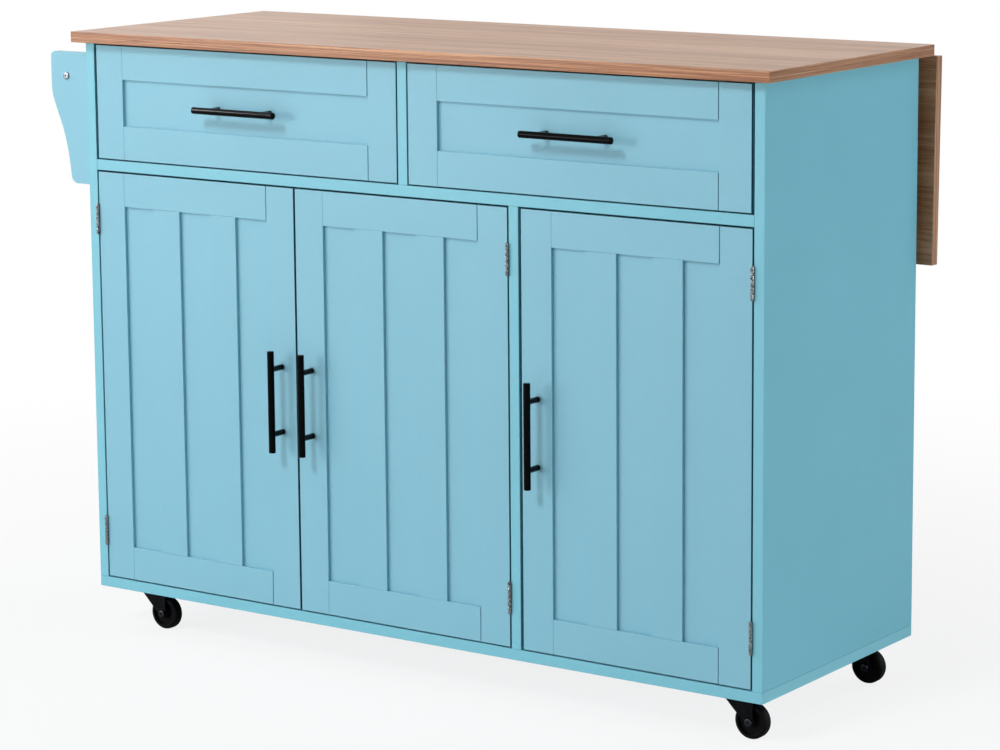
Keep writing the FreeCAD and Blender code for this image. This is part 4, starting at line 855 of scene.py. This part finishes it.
first_low, first_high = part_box("caster_front_left_wheel")
first_middle = (first_low + first_high) / 2
caster = {"fork": pressed_fork("caster_front_left_fork", first_middle),
          "bolt": axle_bolt(first_middle),
          "wheel": wheel(first_middle)}
for corner in ("front_left", "front_right", "rear_left", "rear_right"):
    low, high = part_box("caster_%s_wheel" % corner)
    shift = Matrix.Translation((low + high) / 2 - first_middle)
    fork, bolt, rolling = (twin(part, "finished_caster_%s_%s" % (corner, word), shift)
                           for word, part in caster.items())
    hand_over(fork, "caster_%s_fork" % corner, ENAMEL)
    hand_over(bolt, "caster_%s_fork" % corner, BLACK_ZINC, stands_for=False)
    hand_over(rolling, "caster_%s_wheel" % corner, NYLON)
for part in (*caster.values(), PAN_HEAD, FLAT_HEAD, SHANK):
    bpy.data.objects.remove(part)
caster_plates = soften(merged_copy("caster_plates", "finished_caster_plates"), PLATE_ROUND)
hand_over(caster_plates, "caster_plates", ENAMEL)


# Studio

def world_light(strength):
    """Even light on the object, and plain white wherever the camera or a gloss looks past it."""
    world = bpy.data.worlds.new("studio")
    tree = bare_tree(world)
    rays = add(tree, "LightPath").outputs
    seen = add(tree, "Math", {0: rays["Is Camera Ray"], 1: rays["Is Glossy Ray"]}, operation="MAXIMUM")
    seen = add(tree, "Math", {0: seen, 1: rays["Is Transmission Ray"]}, operation="MAXIMUM")
    fill = add(tree, "Background", {"Color": (1, 1, 1, 1), "Strength": strength})
    white = add(tree, "Background", {"Color": (1, 1, 1, 1), "Strength": 1})
    add(tree, "OutputWorld", {"Surface": add(tree, "MixShader", {0: seen, 1: fill, 2: white})})
    bpy.context.scene.world = world


def lamp(name, place, aim, width, height, level):
    """Soft box; its level is how bright a white card would look that faces it at the point it is aimed at."""
    data = bpy.data.lights.new(name, "AREA")
    data.shape = "RECTANGLE"
    data.size, data.size_y = width, height
    run = Vector(aim) - Vector(place)
    data.energy = level * (math.pi * run.length) ** 2
    item = bpy.data.objects.new(name, data)
    bpy.context.scene.collection.objects.link(item)
    item.location = place
    item.rotation_euler = run.to_track_quat("-Z", "Y").to_euler()
    return item


def seamless_paper():
    """White paper floor: it takes the object's shadow nearby, and is as white as the world further off."""
    item, tree, place = start_finish("studio_paper_seamless")
    paper = add(tree, "BsdfDiffuse", {"Color": linear("#F0F0F0")})
    glow = add(tree, "Emission", {"Color": (1, 1, 1, 1), "Strength": 1})
    reach = add(tree, "VectorMath", {0: place}, operation="LENGTH").outputs["Value"]
    white = add(tree, "MapRange", {"Value": reach, "From Min": SHADOW_REACH, "From Max": WHITE_REACH,
                                   "To Min": SHADOW_GLOW, "To Max": 1})
    camera_ray = add(tree, "LightPath").outputs["Is Camera Ray"]
    seen = add(tree, "Math", {0: camera_ray, 1: white}, operation="MULTIPLY")
    add(tree, "OutputMaterial", {"Surface": add(tree, "MixShader", {0: seen, 1: paper, 2: glow})})
    return item


take()
bpy.ops.mesh.primitive_plane_add(size=FLOOR_SIZE)
floor = bpy.context.object
floor.name = "floor"
floor.data.materials.append(seamless_paper())

world_light(FILL_LIGHT)
lamp("left", (-3.1, -3.5, 1.0), CASE_FRONT, 2.2, 1.8, 0.22)
lamp("key", (-0.3, -4.6, 4.4), CASE_FRONT, 1.1, 1.1, 0.41)
lamp("shadow", (-2.2, -3.7, 1.35), CASE_FRONT, 0.9, 0.9, 0.14)
lamp("top", (-2.6, -0.7, 2.8), (-0.4, 0, 0.9), 2.0, 1.6, 0.34)
lamp("right", (4.0, 0.1, 0.5), (0.6, 0, 0.5), 0.9, 0.8, 0.34)
lamp("back", (2.2, 3.3, 2.6), (0, 0.2, 0.6), 1.6, 1.4, 0.26)
# These two are seen in glossy surfaces alone: the strip draws the line of light along the left drawer's
# handle, and the sheen brightens the worktop's left end
lamp("strip", (-3.42, -3.26, 2.55), (-0.4, -0.25, 0.82), 0.4, 0.8, 0.7).visible_diffuse = False
lamp("sheen", (-3.4, 3.0, 1.9), (-0.5, 0, 0.9), 1.4, 1.0, 0.014).visible_diffuse = False

camera_data = bpy.data.cameras.new("photo")
camera_data.lens, camera_data.sensor_width = LENS, SENSOR
camera_data.shift_x, camera_data.shift_y = SHIFT
camera_data.clip_end = VIEW_END
camera = bpy.data.objects.new("photo", camera_data)
bpy.context.scene.collection.objects.link(camera)
camera.matrix_world = (Matrix.Translation(EYE)
                       @ Matrix.Rotation(LEFTWARD_TURN, 4, "Z")
                       @ Matrix.Rotation(math.pi / 2 - DOWNWARD_TILT, 4, "X")
                       @ Matrix.Rotation(-ROLL, 4, "Z"))
bpy.context.scene.camera = camera
bpy.context.scene.view_settings.view_transform = "Standard"
